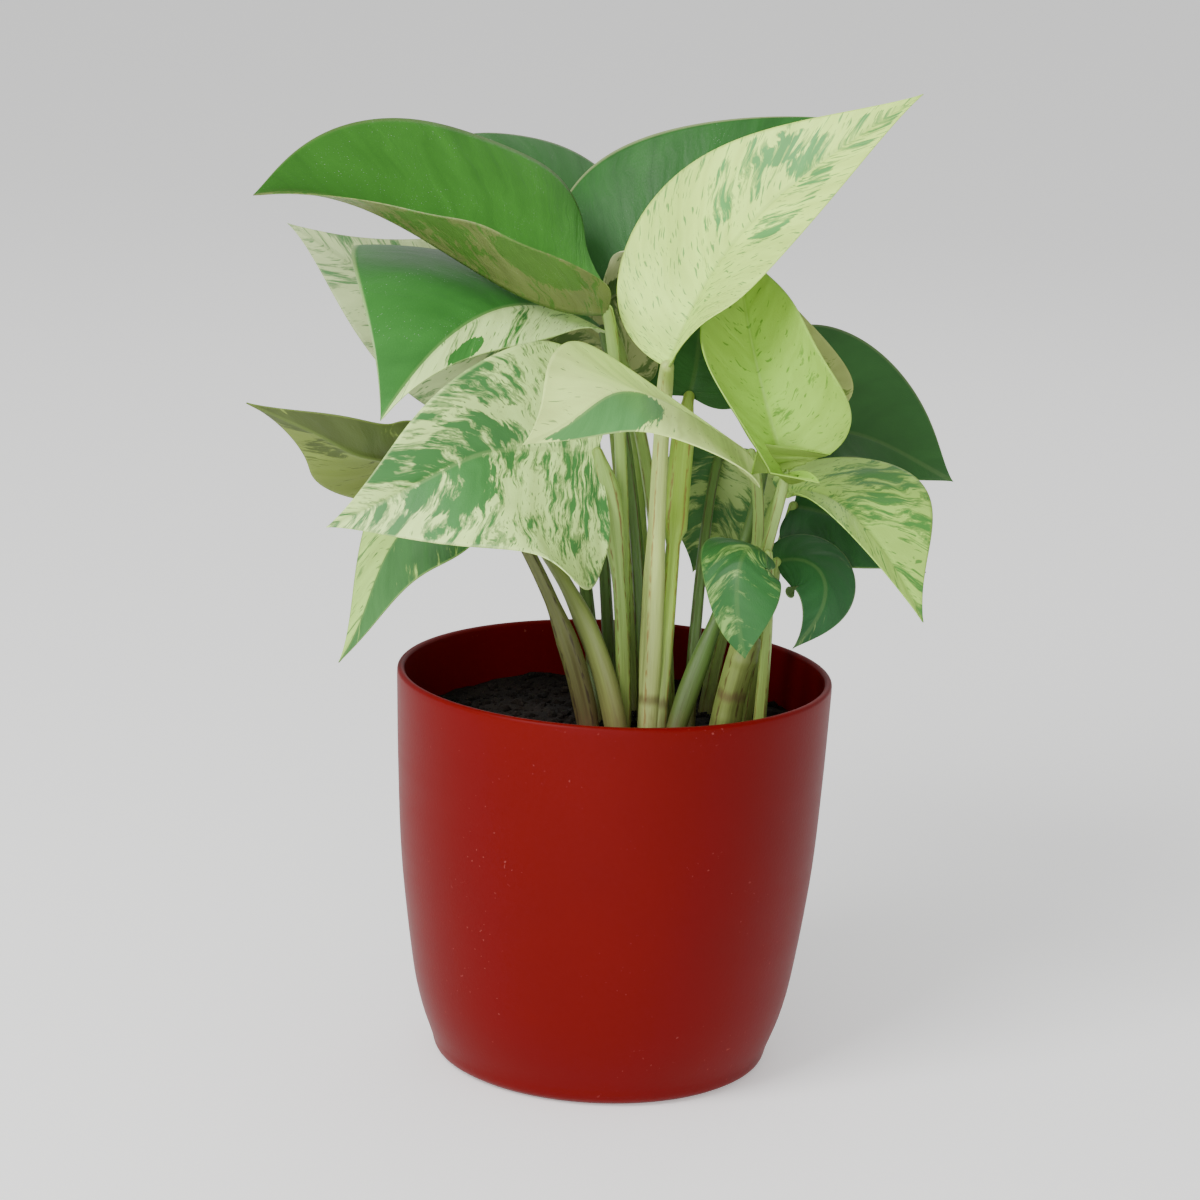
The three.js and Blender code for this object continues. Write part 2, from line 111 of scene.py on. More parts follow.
# Small forms on a blade: puckers between the side veins, slow swells, the groove over the midrib and the rib
PUCKERS = 9
PUCKER_HEIGHT = 0.16
SWELL_HEIGHT = 0.35
SWELLS_ALONG = 1.7
SWELLS_ACROSS = 0.35
GROOVE_DEPTH = 0.3
GROOVE_WIDTH = 0.9
RIB_DEPTH = 0.75
RIB_WIDTH = 1.1

# Stalks: height of the foot and of the pull point over it, and the swollen knees as place and share
STALK_FOOT = 72
STALK_UPRIGHT = 104
STALK_ROWS = 56
STALK_SIDES = 24
STALK_CAP_RINGS = 5
KNEES = ((0.93, 0.12), (0.13, 0.1))
KNEE_LENGTH = 0.05
LEAN_POWER = 1.5
SHEATH_END = 0.15
# The channel along a stalk and the wings beside it: depth and height as shares, places and widths in radians
CHANNEL_FROM = 0.2
CHANNEL_TO = 0.97
CHANNEL_FADE = 0.1
CHANNEL_DEPTH = 0.2
CHANNEL_WIDTH = 0.4
WING_HEIGHT = 0.09
WING_AT = 0.75
WING_WIDTH = 0.3

# Vine stem: its route, its radius at the foot and how much thinner it gets, and its swollen rings
STEM_PATH = [[28, -12, 72], [28, -12, 88], [29, -12, 100], [34, -13, 118]]
STEM_RADIUS = 3.9
STEM_TAPER = 0.3
STEM_SWELLS = ((0.55, 0.25), (0.9, 0.35))
STEM_SWELL_LENGTH = 0.03
STEM_CAP_RINGS = 6
STEM_CAP_HEIGHT = 2.5
STEM_CAP_RADIUS = 3.6
STEM_RIDGES = 3
STEM_RIDGE_HEIGHT = 0.1

# Noises on a leaf, stretched along its side veins: fineness along the leaf, fineness out from the midrib,
# an offset that keeps them apart, detail and roughness
LEAF_NOISES = {
    "patches": (1.5, 0.6, 3, 2, 0.5),
    "streaks": (6.5, 1.6, 5, 4, 0.68),
    "dashes": (15, 3.6, 9, 1, 0.5),
    "bands": (3.2, 0.25, 15, 1, 0.5),
    "ridges": (5, 0.5, 0, 1, 0.5),
}
SEED_STEP = 7.3
# How much the patches, the streaks and the share of cream count, and between which sums green turns cream
PATCH_WEIGHT = 0.45
STREAK_WEIGHT = 0.55
SHARE_WEIGHT = 0.5
CREAM_FROM = 0.455
CREAM_TO = 0.545

# Studio: the floor's corners, colour and glow, and each light's place, size and power
FLOOR_CORNERS = [(-4, -4, -0.0003), (4, -4, -0.0003), (4, 6, -0.0003), (-4, 6, -0.0003)]
FLOOR_COLOUR = (0.93, 0.93, 0.92, 1)
FLOOR_GLOW = 0.35
WORLD_STRENGTH = 0.6
LIGHTS_AIM = (0, 0, 0.14)
LIGHTS = {
    "key_light": ((-0.75, -0.85, 1.05), 0.7, 22),
    "front_light": ((-0.15, -1.15, 0.4), 0.9, 7),
    "back_light": ((0.2, 1.0, 0.9), 0.8, 2),
}

# Each leaf as in the part's source. midrib: base, two pull points and tip. face: the way its upper side
# looks at mid leaf. width: half width at base, middle and tip for the left and the right half. fold: degrees
# that each half is lifted. curl: degrees more at the edge. lobe: how far each half reaches back past the
# base. wave: height, count, phase. root and pull: the stalk's foot and the point that bends it. radius: its
# ends.
# Most rows came out of fits to outline points read off the photo, rounded and then adjusted. Leaves
# 12, 16, 18, 19 and 21, and the waves, roots, pulls and radii of all of them, were set one by one.
LEAVES = {
    "leaf_01_upper_left": dict(
        midrib=[[-6, -8, 203], [-34, -12, 198], [-63, 10, 235], [-95, -32, 232]], face=[0.1, -0.5, 1],
        width=[[33, 34, 32], [39, 46, 48]], fold=[[60, 50, 40], [10, 25, 25]], curl=[0, -10],
        lobe=[0.04, 0.04], wave=[0.6, 3, 0], root=[3, 4], pull=[0, 6, 178], radius=[2.2, 1.4]),
    "leaf_02_back_left": dict(
        midrib=[[-11, 54, 210], [-14, 68, 222], [-57, 74, 242], [-57, 90, 227]], face=[-0.2, -0.4, 1],
        width=[[22, 22, 22], [22, 22, 22]], fold=[[15, 10, 10], [10, 5, 15]], curl=[0, -10],
        lobe=[0.06, 0.06], wave=[0.5, 2, 0], root=[6, 14], pull=[0, 58, 150], radius=[2.2, 1.3]),
    "leaf_03_top_centre": dict(
        midrib=[[-8, 29, 200], [4, 37, 203], [30, 45, 240], [57, 52, 248]], face=[-0.2, -0.8, 0.7],
        width=[[35, 32, 31], [31, 30, 29]], fold=[[10, 25, 15], [90, 25, 25]], curl=[-15, 0],
        lobe=[0.12, 0.04], wave=[0, 2, 0], root=[15, 4], pull=[10, 14, 165], radius=[2.3, 1.4]),
    "leaf_04_top_right": dict(
        midrib=[[10, -9, 189], [21, 8, 217], [27, -15, 232], [72, -3, 261]], face=[-0.5, -1, 0.5],
        width=[[27, 25, 25], [23, 23, 23]], fold=[[10, 10, 20], [55, 25, 15]], curl=[0, 0],
        lobe=[0, 0.05], wave=[0, 2, 0], root=[9.5, -5], pull=[9, 14, 170], radius=[3, 1.8]),
    "leaf_05_mid_right": dict(
        midrib=[[41.6, -13, 163.3], [41.6, -13, 161.3], [23.6, 1, 215], [30, 14, 217]], face=[0.2, -1, 0.3],
        width=[[22, 27, 26], [25, 28, 26]], fold=[[50, 25, 5], [5, 50, 0]], curl=[20, 20],
        lobe=[0.07, 0.04], wave=[0, 2, 0], root=[26, -2.5], pull=[38, -12, 135], radius=[2.2, 1.3]),
    "leaf_06_far_right": dict(
        midrib=[[41, 52, 159], [62, 50, 168], [72, 53, 159], [90, 41, 152]], face=[0.3, -0.8, 0.4],
        width=[[33, 30, 28], [20, 22, 20]], fold=[[30, -10, 5], [5, 25, -20]], curl=[0, 10],
        lobe=[0.07, 0.06], wave=[0, 2, 0], root=[24, 17], pull=[34, 50, 120], radius=[2.2, 1.4]),
    "leaf_07_front_centre": dict(
        midrib=[[33, -2, 166], [-12, -55, 204], [0, -48, 184], [-25, -70, 179]], face=[0, -0.7, 0.75],
        width=[[15, 28, 14], [0, 24, 53]], fold=[[-17, 1, -25], [-33, -33, 33]], curl=[11, 25],
        lobe=[0.05, 0.05], wave=[0, 2, 0], root=[27, 4], pull=[42, -2, 135], radius=[2.2, 1.3]),
    "leaf_08_front_left": dict(
        midrib=[[-7, -5, 165], [-46, -23, 170], [-34, -27, 167], [-75, -32, 148]], face=[0.1, -0.8, 0.3],
        width=[[48, 40, 33], [29, 28, 24]], fold=[[-15, 10, 5], [15, 40, 20]], curl=[20, 0],
        lobe=[0.09, 0.07], wave=[0, 2, 0], root=[3, -2.5], pull=[1, -4, 140], radius=[2.2, 1.4]),
    "leaf_09_low_right": dict(
        midrib=[[42, 3, 155], [58, 5, 160], [70, -26, 145], [79, -20, 127]], face=[0.7, -0.8, 0.5],
        width=[[22, 25, 22], [15, 15, 13]], fold=[[5, 15, 10], [0, 10, 5]], curl=[0, 10],
        lobe=[0.06, 0.06], wave=[0, 2, 0], root=[33, 6], pull=[36, 16, 142], radius=[2.2, 1.3]),
    "leaf_10_mid_left": dict(
        midrib=[[-7, 9, 195], [-37, 5, 214], [-53, -36, 191], [-62, -32, 176]], face=[-0.3, -1, 0.3],
        width=[[12, 15, 10], [37, 52, 46]], fold=[[35, 5, 30], [-25, 10, 30]], curl=[5, -35],
        lobe=[0.05, 0.02], wave=[0, 2, 0], root=[9, 2], pull=[4, 12, 160], radius=[2.2, 1.3]),
    "leaf_11_behind_left": dict(
        midrib=[[-18, 53, 187], [-57, 47, 187], [-76, 41, 207], [-93, 41, 215]], face=[-0.2, -1, 0.4],
        width=[[30, 27, 24], [22, 22, 18]], fold=[[5, 5, -5], [5, 0, 0]], curl=[0, 0],
        lobe=[0.05, 0.05], wave=[0, 2, 0], root=[-3, 1], pull=[-14, 50, 140], radius=[2.2, 1.3]),
    "leaf_12_inner": dict(
        midrib=[[0, 36, 178], [-6, 36, 191], [-20, 42, 195], [-34, 48, 187]], face=[0.2, 0.9, 0.4],
        width=[[14, 14, 12], [14, 14, 12]], fold=[[10, 10, 0], [10, 10, 0]], curl=[0, 0],
        lobe=[0.12, 0.12], wave=[0, 2, 0], root=[9, 8.5], pull=[6, 22, 150], radius=[1.9, 1.2]),
    "leaf_13_far_left": dict(
        midrib=[[-43, 19, 155], [-85, 9, 159], [-60, 4, 159], [-99, 2, 173]], face=[0.4, 0.9, 0.5],
        width=[[17, 18, 15], [18, 18, 14]], fold=[[5, 10, -5], [10, -5, 10]], curl=[0, -10],
        lobe=[0.03, 0.03], wave=[0, 2, 0], root=[3, -9.5], pull=[-14, 2, 140], radius=[2.5, 1.3]),
    "leaf_14_low_left": dict(
        midrib=[[-37, -4, 158], [-68, -8, 143], [-61, -7, 125], [-72, -17, 109]], face=[-0.5, -0.9, 0.4],
        width=[[19, 18, 17], [19, 18, 17]], fold=[[-5, 15, 5], [25, -25, -10]], curl=[-5, 0],
        lobe=[0.06, 0.06], wave=[0, 2, 0], root=[-4.5, -7], pull=[-20, -6, 135], radius=[2.5, 1.4]),
    "leaf_15_small_curled": dict(
        midrib=[[38, -18, 143], [29, -26, 152], [28, -32, 135], [33, -31, 118]], face=[-0.2, -0.9, 0.5],
        width=[[8, 14, 31], [25, 11, 25]], fold=[[-10, -10, 0], [-10, -10, 0]], curl=[-20, -10],
        lobe=[0.1, 0.1], wave=[0.8, 2, 0], root=[38, -11], pull=[40, -19, 122], radius=[2, 1.2]),
    "leaf_16_small_drooping": dict(
        midrib=[[41, -5, 138], [51, -3, 142], [62, -8, 133], [46, -14, 117]], face=[0.5, -0.6, 0.6],
        width=[[12, 13, 12], [13, 12, 9]], fold=[[-10, -10, 0], [-10, -10, 0]], curl=[0, 0],
        lobe=[0.05, 0.05], wave=[0, 2, 0], root=[34, -1], pull=[40, -4, 122], radius=[2, 1.2]),
    "leaf_17_dark_low_right": dict(
        midrib=[[46, 24, 147], [58, 18, 147], [68, 15, 143], [82, 16, 132]], face=[0.2, -0.7, 0.6],
        width=[[20, 20, 18], [20, 20, 18]], fold=[[5, 0, 0], [5, 5, 0]], curl=[0, 10],
        lobe=[0.05, 0.05], wave=[0, 2, 0], root=[27, 11], pull=[42, 22, 125], radius=[2.1, 1.3]),
    "leaf_18_inner_low": dict(
        midrib=[[26, 32, 159], [26, 32, 152], [24, 31, 138], [20, 30, 126]], face=[0, -1, 0.3],
        width=[[17, 17, 15], [17, 17, 15]], fold=[[10, 0, 0], [10, 0, 0]], curl=[0, 0],
        lobe=[0.1, 0.1], wave=[0, 2, 0], root=[20, 2], pull=[22, 20, 150], radius=[2, 1.2]),
    "leaf_19_inner_high": dict(
        midrib=[[17, 38, 173], [20, 43, 184], [20, 54, 197], [18, 66, 209]], face=[0, -1, 0.4],
        width=[[22, 22, 20], [22, 22, 20]], fold=[[10, 0, 0], [10, 0, 0]], curl=[0, 0],
        lobe=[0.08, 0.08], wave=[0, 2, 0], root=[16, -3], pull=[14, 8, 165], radius=[2.5, 1.5]),
    "leaf_20_behind_right": dict(
        midrib=[[38, 19, 168], [36, 21, 182], [38, 22, 195], [35, 24, 210]], face=[0, 0.9, 0.2],
        width=[[24, 22, 18], [9, 11, 14]], fold=[[10, 0, 0], [10, 0, 0]], curl=[0, 0],
        lobe=[0.04, 0.05], wave=[1, 2.5, 0], root=[14, -10], pull=[36, 6, 130], radius=[2.4, 1.3]),
    "leaf_21_behind_upper_left": dict(
        midrib=[[-12, 61, 189], [-32, 66, 207], [-53, 69, 207], [-68, 74, 181]], face=[-0.2, -0.9, 0.5],
        width=[[16, 16, 14], [16, 16, 14]], fold=[[10, 0, 0], [10, 0, 0]], curl=[0, 0],
        lobe=[0.06, 0.06], wave=[0, 2, 0], root=[0, 10], pull=[-6, 58, 140], radius=[2, 1.2]),
}

# How each leaf is coloured. slot: the record's material. green and cream: its two colours. share: how much
# cream the left and the right half carry, 0 to 1. flecks: how many small dark dashes lie on the cream, 0 to
# 1. patches: places with more cream (change above 0) or less, as place along the leaf u, place across w from
# -1 right margin to 1 left margin, their half lengths, and the change. dust: whether pale specks lie on it.
LOOKS = {
    "leaf_01_upper_left": dict(
        slot="leaf_green", green="#3a7626", cream="#77864a", share=(0.56, 0.0), flecks=0.6, dust=1,
        patches=[(0.27, 0.7, 0.14, 0.35, -0.5), (0.6, 0.6, 0.1, 0.4, -0.2)]),
    "leaf_02_back_left": dict(
        slot="leaf_dark", green="#34632f", cream="#a9bf78", share=(0.0, 0.05), flecks=0, dust=1),
    "leaf_03_top_centre": dict(
        slot="leaf_dark", green="#2c6227", cream="#d6e0a2", share=(0.0, 0.0), flecks=0, dust=1,
        patches=[(0.06, 0.95, 0.09, 0.3, 0.9), (0.12, -0.8, 0.14, 0.55, 0.6)]),
    "leaf_04_top_right": dict(
        slot="leaf_pale", green="#5a9a52", cream="#cdf272", share=(0.76, 0.76), flecks=1,
        patches=[(0.63, 0.6, 0.12, 0.35, -0.2), (0.72, 0.7, 0.06, 0.2, -0.2),
                 (0.68, -0.45, 0.12, 0.3, -0.24), (0.86, 0.3, 0.12, 0.5, -0.22),
                 (0.88, -0.4, 0.1, 0.5, -0.22)]),
    "leaf_05_mid_right": dict(
        slot="leaf_pale", green="#5f8f36", cream="#9ac44e", share=(0.84, 0.74), flecks=0.7,
        patches=[(0.55, -0.25, 0.3, 0.2, -0.08), (0.5, 0.25, 0.3, 0.2, -0.08)]),
    "leaf_06_far_right": dict(
        slot="leaf_dark", green="#35602f", cream="#8fab6a", share=(0.0, 0.0), flecks=0),
    "leaf_07_front_centre": dict(
        slot="leaf_pale", green="#579150", cream="#dcf98e", share=(0.85, 0.8), flecks=0.45,
        patches=[(0.8, 0.5, 0.16, 0.62, -0.85)]),
    "leaf_08_front_left": dict(
        slot="leaf_marbled", green="#457d42", cream="#cfee90", share=(0.54, 0.56), flecks=1,
        patches=[(0.66, -0.3, 0.13, 0.4, -0.15), (0.72, 0.3, 0.12, 0.4, -0.2), (0.25, 0.3, 0.14, 0.4, -0.08),
                 (0.4, 0.75, 0.2, 0.5, 0.1)]),
    "leaf_09_low_right": dict(
        slot="leaf_pale", green="#4a853a", cream="#a4cf5a", share=(0.56, 0.68), flecks=1),
    "leaf_10_mid_left": dict(
        slot="leaf_green", green="#3c7a35", cream="#cdec94", share=(0.72, 0.0), flecks=0.8, dust=1,
        patches=[(0.69, 0.8, 0.06, 0.25, -0.4)]),
    "leaf_11_behind_left": dict(
        slot="leaf_marbled", green="#55804f", cream="#b2c48a", share=(0.6, 0.6), flecks=0.9),
    "leaf_12_inner": dict(
        slot="leaf_dark", green="#47702f", cream="#b0bc78", share=(0.5, 0.45), flecks=0.5),
    "leaf_13_far_left": dict(
        slot="leaf_dark", green="#3d5526", cream="#869c48", share=(0.25, 0.6), flecks=0.9,
        patches=[(0.93, 0, 0.1, 1.2, -0.5)]),
    "leaf_14_low_left": dict(
        slot="leaf_marbled", green="#42713c", cream="#abd267", share=(0.32, 0.62), flecks=0.6),
    "leaf_15_small_curled": dict(
        slot="leaf_green", green="#2f612f", cream="#7fa655", share=(0.36, 0.4), flecks=0.9),
    "leaf_16_small_drooping": dict(
        slot="leaf_dark", green="#28552c", cream="#93b268", share=(0.2, 0.12), flecks=0.1),
    "leaf_17_dark_low_right": dict(
        slot="leaf_dark", green="#28582a", cream="#8fab68", share=(0.0, 0.0), flecks=0),
    "leaf_18_inner_low": dict(
        slot="leaf_dark", green="#3b6a32", cream="#93ad62", share=(0.5, 0.45), flecks=0.6),
    "leaf_19_inner_high": dict(
        slot="leaf_dark", green="#33622b", cream="#93ad62", share=(0.1, 0.15), flecks=0.1),
    "leaf_20_behind_right": dict(
        slot="leaf_marbled", green="#6f8f3f", cream="#bfcf78", share=(0.62, 0.6), flecks=0.2),
    "leaf_21_behind_upper_left": dict(
        slot="leaf_marbled", green="#587f48", cream="#bfd088", share=(0.6, 0.6), flecks=0.7),
}

# Stretches of some stalks where a sheath makes them wider: from and to along the stalk, millimetres wider on
# each side, and how softly the sheath begins
SHEATHS = {
    "leaf_04_top_right": (0.15, 0.62, 0.9, 0.2),
    "leaf_08_front_left": (0.6, 1.02, 2.0, 0.25),
    "leaf_13_far_left": (0.05, 0.6, 1.4, 0.2),
    "leaf_14_low_left": (0.1, 0.6, 1.0, 0.2),
    "leaf_19_inner_high": (0.6, 0.98, 1.5, 0.02),
    "leaf_20_behind_right": (0.1, 0.5, 0.8, 0.2),
}
# How far the foot of a stalk leans over towards its neighbour, where both grow from one joint of the vine
LEANS = {"leaf_19_inner_high": (-5, -1.5)}


def linear(hexcode):
    """Linear colour of a display colour written as #rrggbb."""
    display = np.array([int(hexcode[i:i + 2], 16) / 255 for i in (1, 3, 5)])
    low = display / 12.92
    high = ((display + 0.055) / 1.055) ** 2.4
    return tuple(np.where(display <= 0.04045, low, high)) + (1.0,)


class Wire:
    """A shader socket. Sums on wires and numbers add their Math nodes, and node() adds any other node."""

    def __init__(self, tree, socket=None):
        self.tree = tree
        self.socket = socket

    def node(self, kind, settings=None, inputs=None, output=0):
        made = self.tree.nodes.new("ShaderNode" + kind)
        for key, value in (settings or {}).items():
            if key == "stops":
                ramp = made.color_ramp
                while len(ramp.elements) < len(value):
                    ramp.elements.new(0.5)
                for element, (place, colour) in zip(ramp.elements, value):
                    element.position = place
                    element.color = colour
            else:
                setattr(made, key, value)
        for key, value in (inputs or {}).items():
            if isinstance(value, Wire):
                self.tree.links.new(value.socket, made.inputs[key])
            else:
                made.inputs[key].default_value = value
        return Wire(self.tree, made.outputs[output]) if made.outputs else None

    def math(self, operation, *values):
        return self.node("Math", {"operation": operation}, dict(enumerate(values)))

    def __add__(self, other):
        return self.math("ADD", self, other)

    __radd__ = __add__

    def __mul__(self, other):
        return self.math("MULTIPLY", self, other)

    __rmul__ = __mul__

    def __sub__(self, other):
        return self.math("SUBTRACT", self, other)

    def __rsub__(self, other):
        return self.math("SUBTRACT", other, self)

    def __truediv__(self, other):
        return self.math("DIVIDE", self, other)

    def __abs__(self):
        return self.math("ABSOLUTE", self)

    def split(self):
        """The three parts of a vector."""
        return [self.node("SeparateXYZ", None, {0: self}, part) for part in range(3)]

    def vector(self, x, y, z):
        return self.node("CombineXYZ", None, {0: x, 1: y, 2: z})

    def noise(self, vector, scale, detail, roughness=0.5):
        """Soft random values near 0.5, in blots about 1/scale across."""
        inputs = {"Vector": vector, "Scale": scale, "Detail": detail, "Roughness": roughness}
        return self.node("TexNoise", None, inputs)

    def rise(self, value, low, high):
        """0 below low, 1 above high, smooth between."""
        inputs = {"Value": value, "From Min": low, "From Max": high}
        return self.node("MapRange", {"interpolation_type": "SMOOTHSTEP"}, inputs)

    def blend(self, factor, first, second):
        """The first colour where factor is 0, the second where it is 1."""
        return self.node("Mix", {"data_type": "RGBA"}, {0: factor, 6: first, 7: second}, 2)


def new_material(name):
    """An empty material with its first wire."""
    material = bpy.data.materials.new(name)
    material.use_nodes = True
    material.node_tree.nodes.clear()
    return material, Wire(material.node_tree)


def finish_surface(wire, colour, roughness, height=None, depth=0, constants=None):
    """Principled surface with a colour, a roughness, constant inputs and, if given, a height that bumps it
    by depth metres."""
    inputs = {"Base Color": colour, "Roughness": roughness}
    if height is not None:
        inputs["Normal"] = wire.node("Bump", None, {"Strength": 1.0, "Distance": depth, "Height": height})
    inputs.update(constants or {})
    surface = wire.node("BsdfPrincipled", None, inputs)
    wire.node("OutputMaterial", None, {"Surface": surface})


def leaf_material(name, look, number):
    """Marbled leaf. Two noises are stretched along the side veins, a coarse one for the patches and a fine
    one for the streaks. Where their sum passes a threshold set by the half's share of cream, green turns
    cream through grey-green. The underside has the same marks in duller colours."""
    material, wire = new_material(name)
    u, w, _ = wire.node("UVMap", {"uv_map": "leaf"}).split()
    along, out, _ = wire.node("UVMap", {"uv_map": "veins"}).split()
    under = wire.node("Attribute", {"attribute_name": "under"}, None, 2)
    seed = number * SEED_STEP
    spot = wire.vector(along, out, seed)
    place = along + (wire.noise(spot, 1.3, 1) - 0.5) * 0.6

    def stretched(kind):
        along_scale, out_scale, offset, detail, roughness = LEAF_NOISES[kind]
        at = wire.vector(place * along_scale, out * out_scale, seed + offset)
        return wire.noise(at, 1, detail, roughness)

    streaks = stretched("streaks")
    left = wire.rise(w, -0.01, 0.01)
    share_left, share_right = look["share"]
    share = share_right + left * (share_left - share_right)
    for patch_u, patch_w, half_u, half_w, change in look.get("patches", []):
        across_u = (u - patch_u) / half_u
        across_w = (w - patch_w) / half_w
        distance = across_u * across_u + across_w * across_w + (streaks - 0.5) * 1.4
        mask = 1 - wire.rise(distance, 0.75, 1.1)
        if patch_w:
            mask = mask * (left if patch_w > 0 else 1 - left)
        share = share + mask * change
    field = stretched("patches") * PATCH_WEIGHT + streaks * STREAK_WEIGHT + (share - 0.5) * SHARE_WEIGHT
    creamy = wire.rise(field, CREAM_FROM, CREAM_TO)
    if look["flecks"]:
        fleck_at = 0.78 - 0.15 * look["flecks"]
        creamy = creamy * (1 - wire.rise(stretched("dashes"), fleck_at, fleck_at + 0.05) * 0.85)
    green = linear(look["green"])
    cream = linear(look["cream"])
    grey = mixed(green, cream, 0.5, 0.4)
    upper_stops = [(0.0, green), (0.4, grey), (0.65, grey), (1.0, cream)]
    upper = wire.node("ValToRGB", {"stops": upper_stops}, {0: creamy})
    olive = mixed(green, (0.3, 0.28, 0.08), 0.65, 0.12)
    dull = mixed(cream, (0.3, 0.32, 0.1), 0.6, 0.08)
    lower_stops = [(0.0, olive), (0.6, dull), (1.0, dull)]
    lower = wire.node("ValToRGB", {"stops": lower_stops}, {0: creamy})
    colour = wire.blend(under, upper, lower)
    shade = wire.noise(spot, 0.8, 3)
    brightness = 0.55 + shade * 0.5 + stretched("bands") * 0.4
    colour = wire.node("HueSaturation", None, {"Value": brightness, "Color": colour})
    rib = 1 - wire.rise(abs(out), 0.03, 0.09)
    colour = wire.blend(rib * (0.3 + under * 0.3), colour, mixed(green, cream, 0.4, 0.4))
    # Painted highlight: a pale line along the margin, a cream brighter than the leaf's own, mixed in on both
    # faces
    edge = wire.rise(abs(w), 0.97, 0.995)
    colour = wire.blend(edge * 0.45, colour, mixed(cream, cream, 0.8, 0))
    fine = wire.noise(spot, 26, 3)
    if look.get("dust"):
        specks = wire.rise(wire.noise(spot, 42, 0), 0.76, 0.84) * wire.rise(shade, 0.45, 0.6)
        colour = wire.blend(specks * 0.5, colour, linear("#c3cfc3"))
    height = fine * 0.6 + stretched("ridges") * 1.6
    roughness = 0.34 + fine * 0.14 + under * 0.12
    finish_surface(wire, colour, roughness, height, 0.00012, {"Specular IOR Level": 0.2})
    return material


def mixed(first, second, first_share, second_share):
    """A fixed colour made of a share of each of two others."""
    return tuple(first_share * a + second_share * b for a, b in zip(first[:3], second[:3])) + (1.0,)


def stalk_material(name, low, high, edge, scar_at=None):
    """Stalk or stem: colour runs from its foot upward with long streaks, the edges of its channel are dry,
    and if scar_at is given, a brown scar rings it that many centimetres above its foot."""
    material, wire = new_material(name)
    along, turn, _ = wire.node("UVMap", {"uv_map": "leaf"}).split()
    streaks = wire.noise(wire.vector(along * 0.35, turn * 14, 1), 1, 4, 0.6)
    climb = wire.rise(along + (streaks - 0.5) * 3, 1.5, 5.5)
    colour = wire.blend(climb, linear(low), linear(high))
    colour = wire.node("HueSaturation", None, {"Value": 0.6 + streaks * 0.8, "Color": colour})
    spots = wire.noise(wire.vector(along * 3, turn * 30, 5), 1, 2)
    ridge = 1 - wire.rise(abs(abs(turn - 0.5) - 0.38), 0.006, 0.03)
    colour = wire.blend(ridge * wire.rise(spots, 0.42, 0.58) * 0.8, colour, linear(edge))
    foot = (1 - wire.rise(along + spots, 2.2, 3.2)) * 0.45
    colour = wire.blend(foot, colour, linear("#6b4a35"))
    if scar_at:
        scar = 1 - wire.rise(abs(along + (streaks - 0.5) * 0.3 - scar_at), 0.02, 0.22)
        colour = wire.blend(scar * 0.6, colour, linear("#5c4030"))
    height = wire.noise(wire.vector(along * 1.2, turn * 60, 2), 1, 2)
    finish_surface(wire, colour, 0.4 + spots * 0.12, height, 0.0001, {"Specular IOR Level": 0.35})
    return material


def pot_material():
    """Red moulded plastic: faint clouds and flow lines in its gloss, fine grain and a few dust specks."""
    material, wire = new_material("red_plastic")
    place = wire.node("TexCoord", None, None, 3)
    x, y, z = place.split()
    clouds = wire.noise(place, 18, 3)
    flow = wire.noise(wire.vector(x * 8, y * 8, z * 220), 1, 2)
    dust = wire.rise(wire.noise(place, 900, 1), 0.73, 0.78) * wire.rise(wire.noise(place, 40, 2), 0.5, 0.62)
    colour = wire.blend(clouds, linear("#5f0303"), linear("#690404"))
    colour = wire.blend(dust * 0.3, colour, linear("#b0605a"))
    roughness = 0.36 + clouds * 0.1 + flow * 0.05 + dust * 0.3
    height = wire.noise(place, 1400, 2) + flow * 0.4
    finish_surface(wire, colour, roughness, height, 0.00003, {"Specular IOR Level": 0.09})
    return material


def soil_material():
    """Dark potting soil: nearly black crumbs with browner fibres and a few pale grains."""
    material, wire = new_material("potting_soil")
    place = wire.node("TexCoord", None, None, 3)
    lumps = wire.noise(place, 320, 5, 0.65)
    blots = wire.noise(place, 70, 2)
    grains = wire.rise(wire.noise(place, 800, 1), 0.7, 0.75)
    colour = wire.blend(wire.rise(blots, 0.35, 0.65), linear("#120e0c"), linear("#1e1713"))
    colour = wire.blend(wire.rise(lumps, 0.5, 0.75) * 0.6, colour, linear("#2b2019"))
    colour = wire.blend(grains * 0.25, colour, linear("#5a4c40"))
    finish_surface(wire, colour, 0.95, lumps, 0.0012, {"Specular IOR Level": 0.2})
    return material


def bezier(points, t):
    """Cubic curve: each point weighted by (1-t)^3, 3t(1-t)^2, 3t^2(1-t) and t^3."""
    a, b, c, d = (np.asarray(p, float) for p in points)
    t = np.asarray(t, float)[..., None]
    return a * (1 - t) ** 3 + 3 * b * t * (1 - t) ** 2 + 3 * c * t ** 2 * (1 - t) + d * t ** 3


def bump(value, at, width):
    """A smooth hump: exp(-((value - at) / width)^2)."""
    return np.exp(-((value - at) / width) ** 2)


def unit(vectors):
    """Vectors divided by their length."""
    return vectors / np.maximum(np.linalg.norm(vectors, axis=-1, keepdims=True), 1e-12)


def distance_along(points):
    """How far each point of a line lies from its first one, along the line."""
    return np.concatenate([[0], np.cumsum(np.linalg.norm(np.diff(points, axis=0), axis=1))])


def carry(tangents, first, start):
    """Directions square to each tangent, carried without twist from the first one, at start, both ways."""
    sides = np.zeros_like(tangents)
    square = lambda side, tangent: unit(side - tangent * np.dot(side, tangent))
    sides[start] = square(np.asarray(first, float), tangents[start])
    for i in range(start, len(tangents) - 1):
        sides[i + 1] = square(sides[i], tangents[i + 1])
    for i in range(start, 0, -1):
        sides[i - 1] = square(sides[i], tangents[i - 1])
    return sides


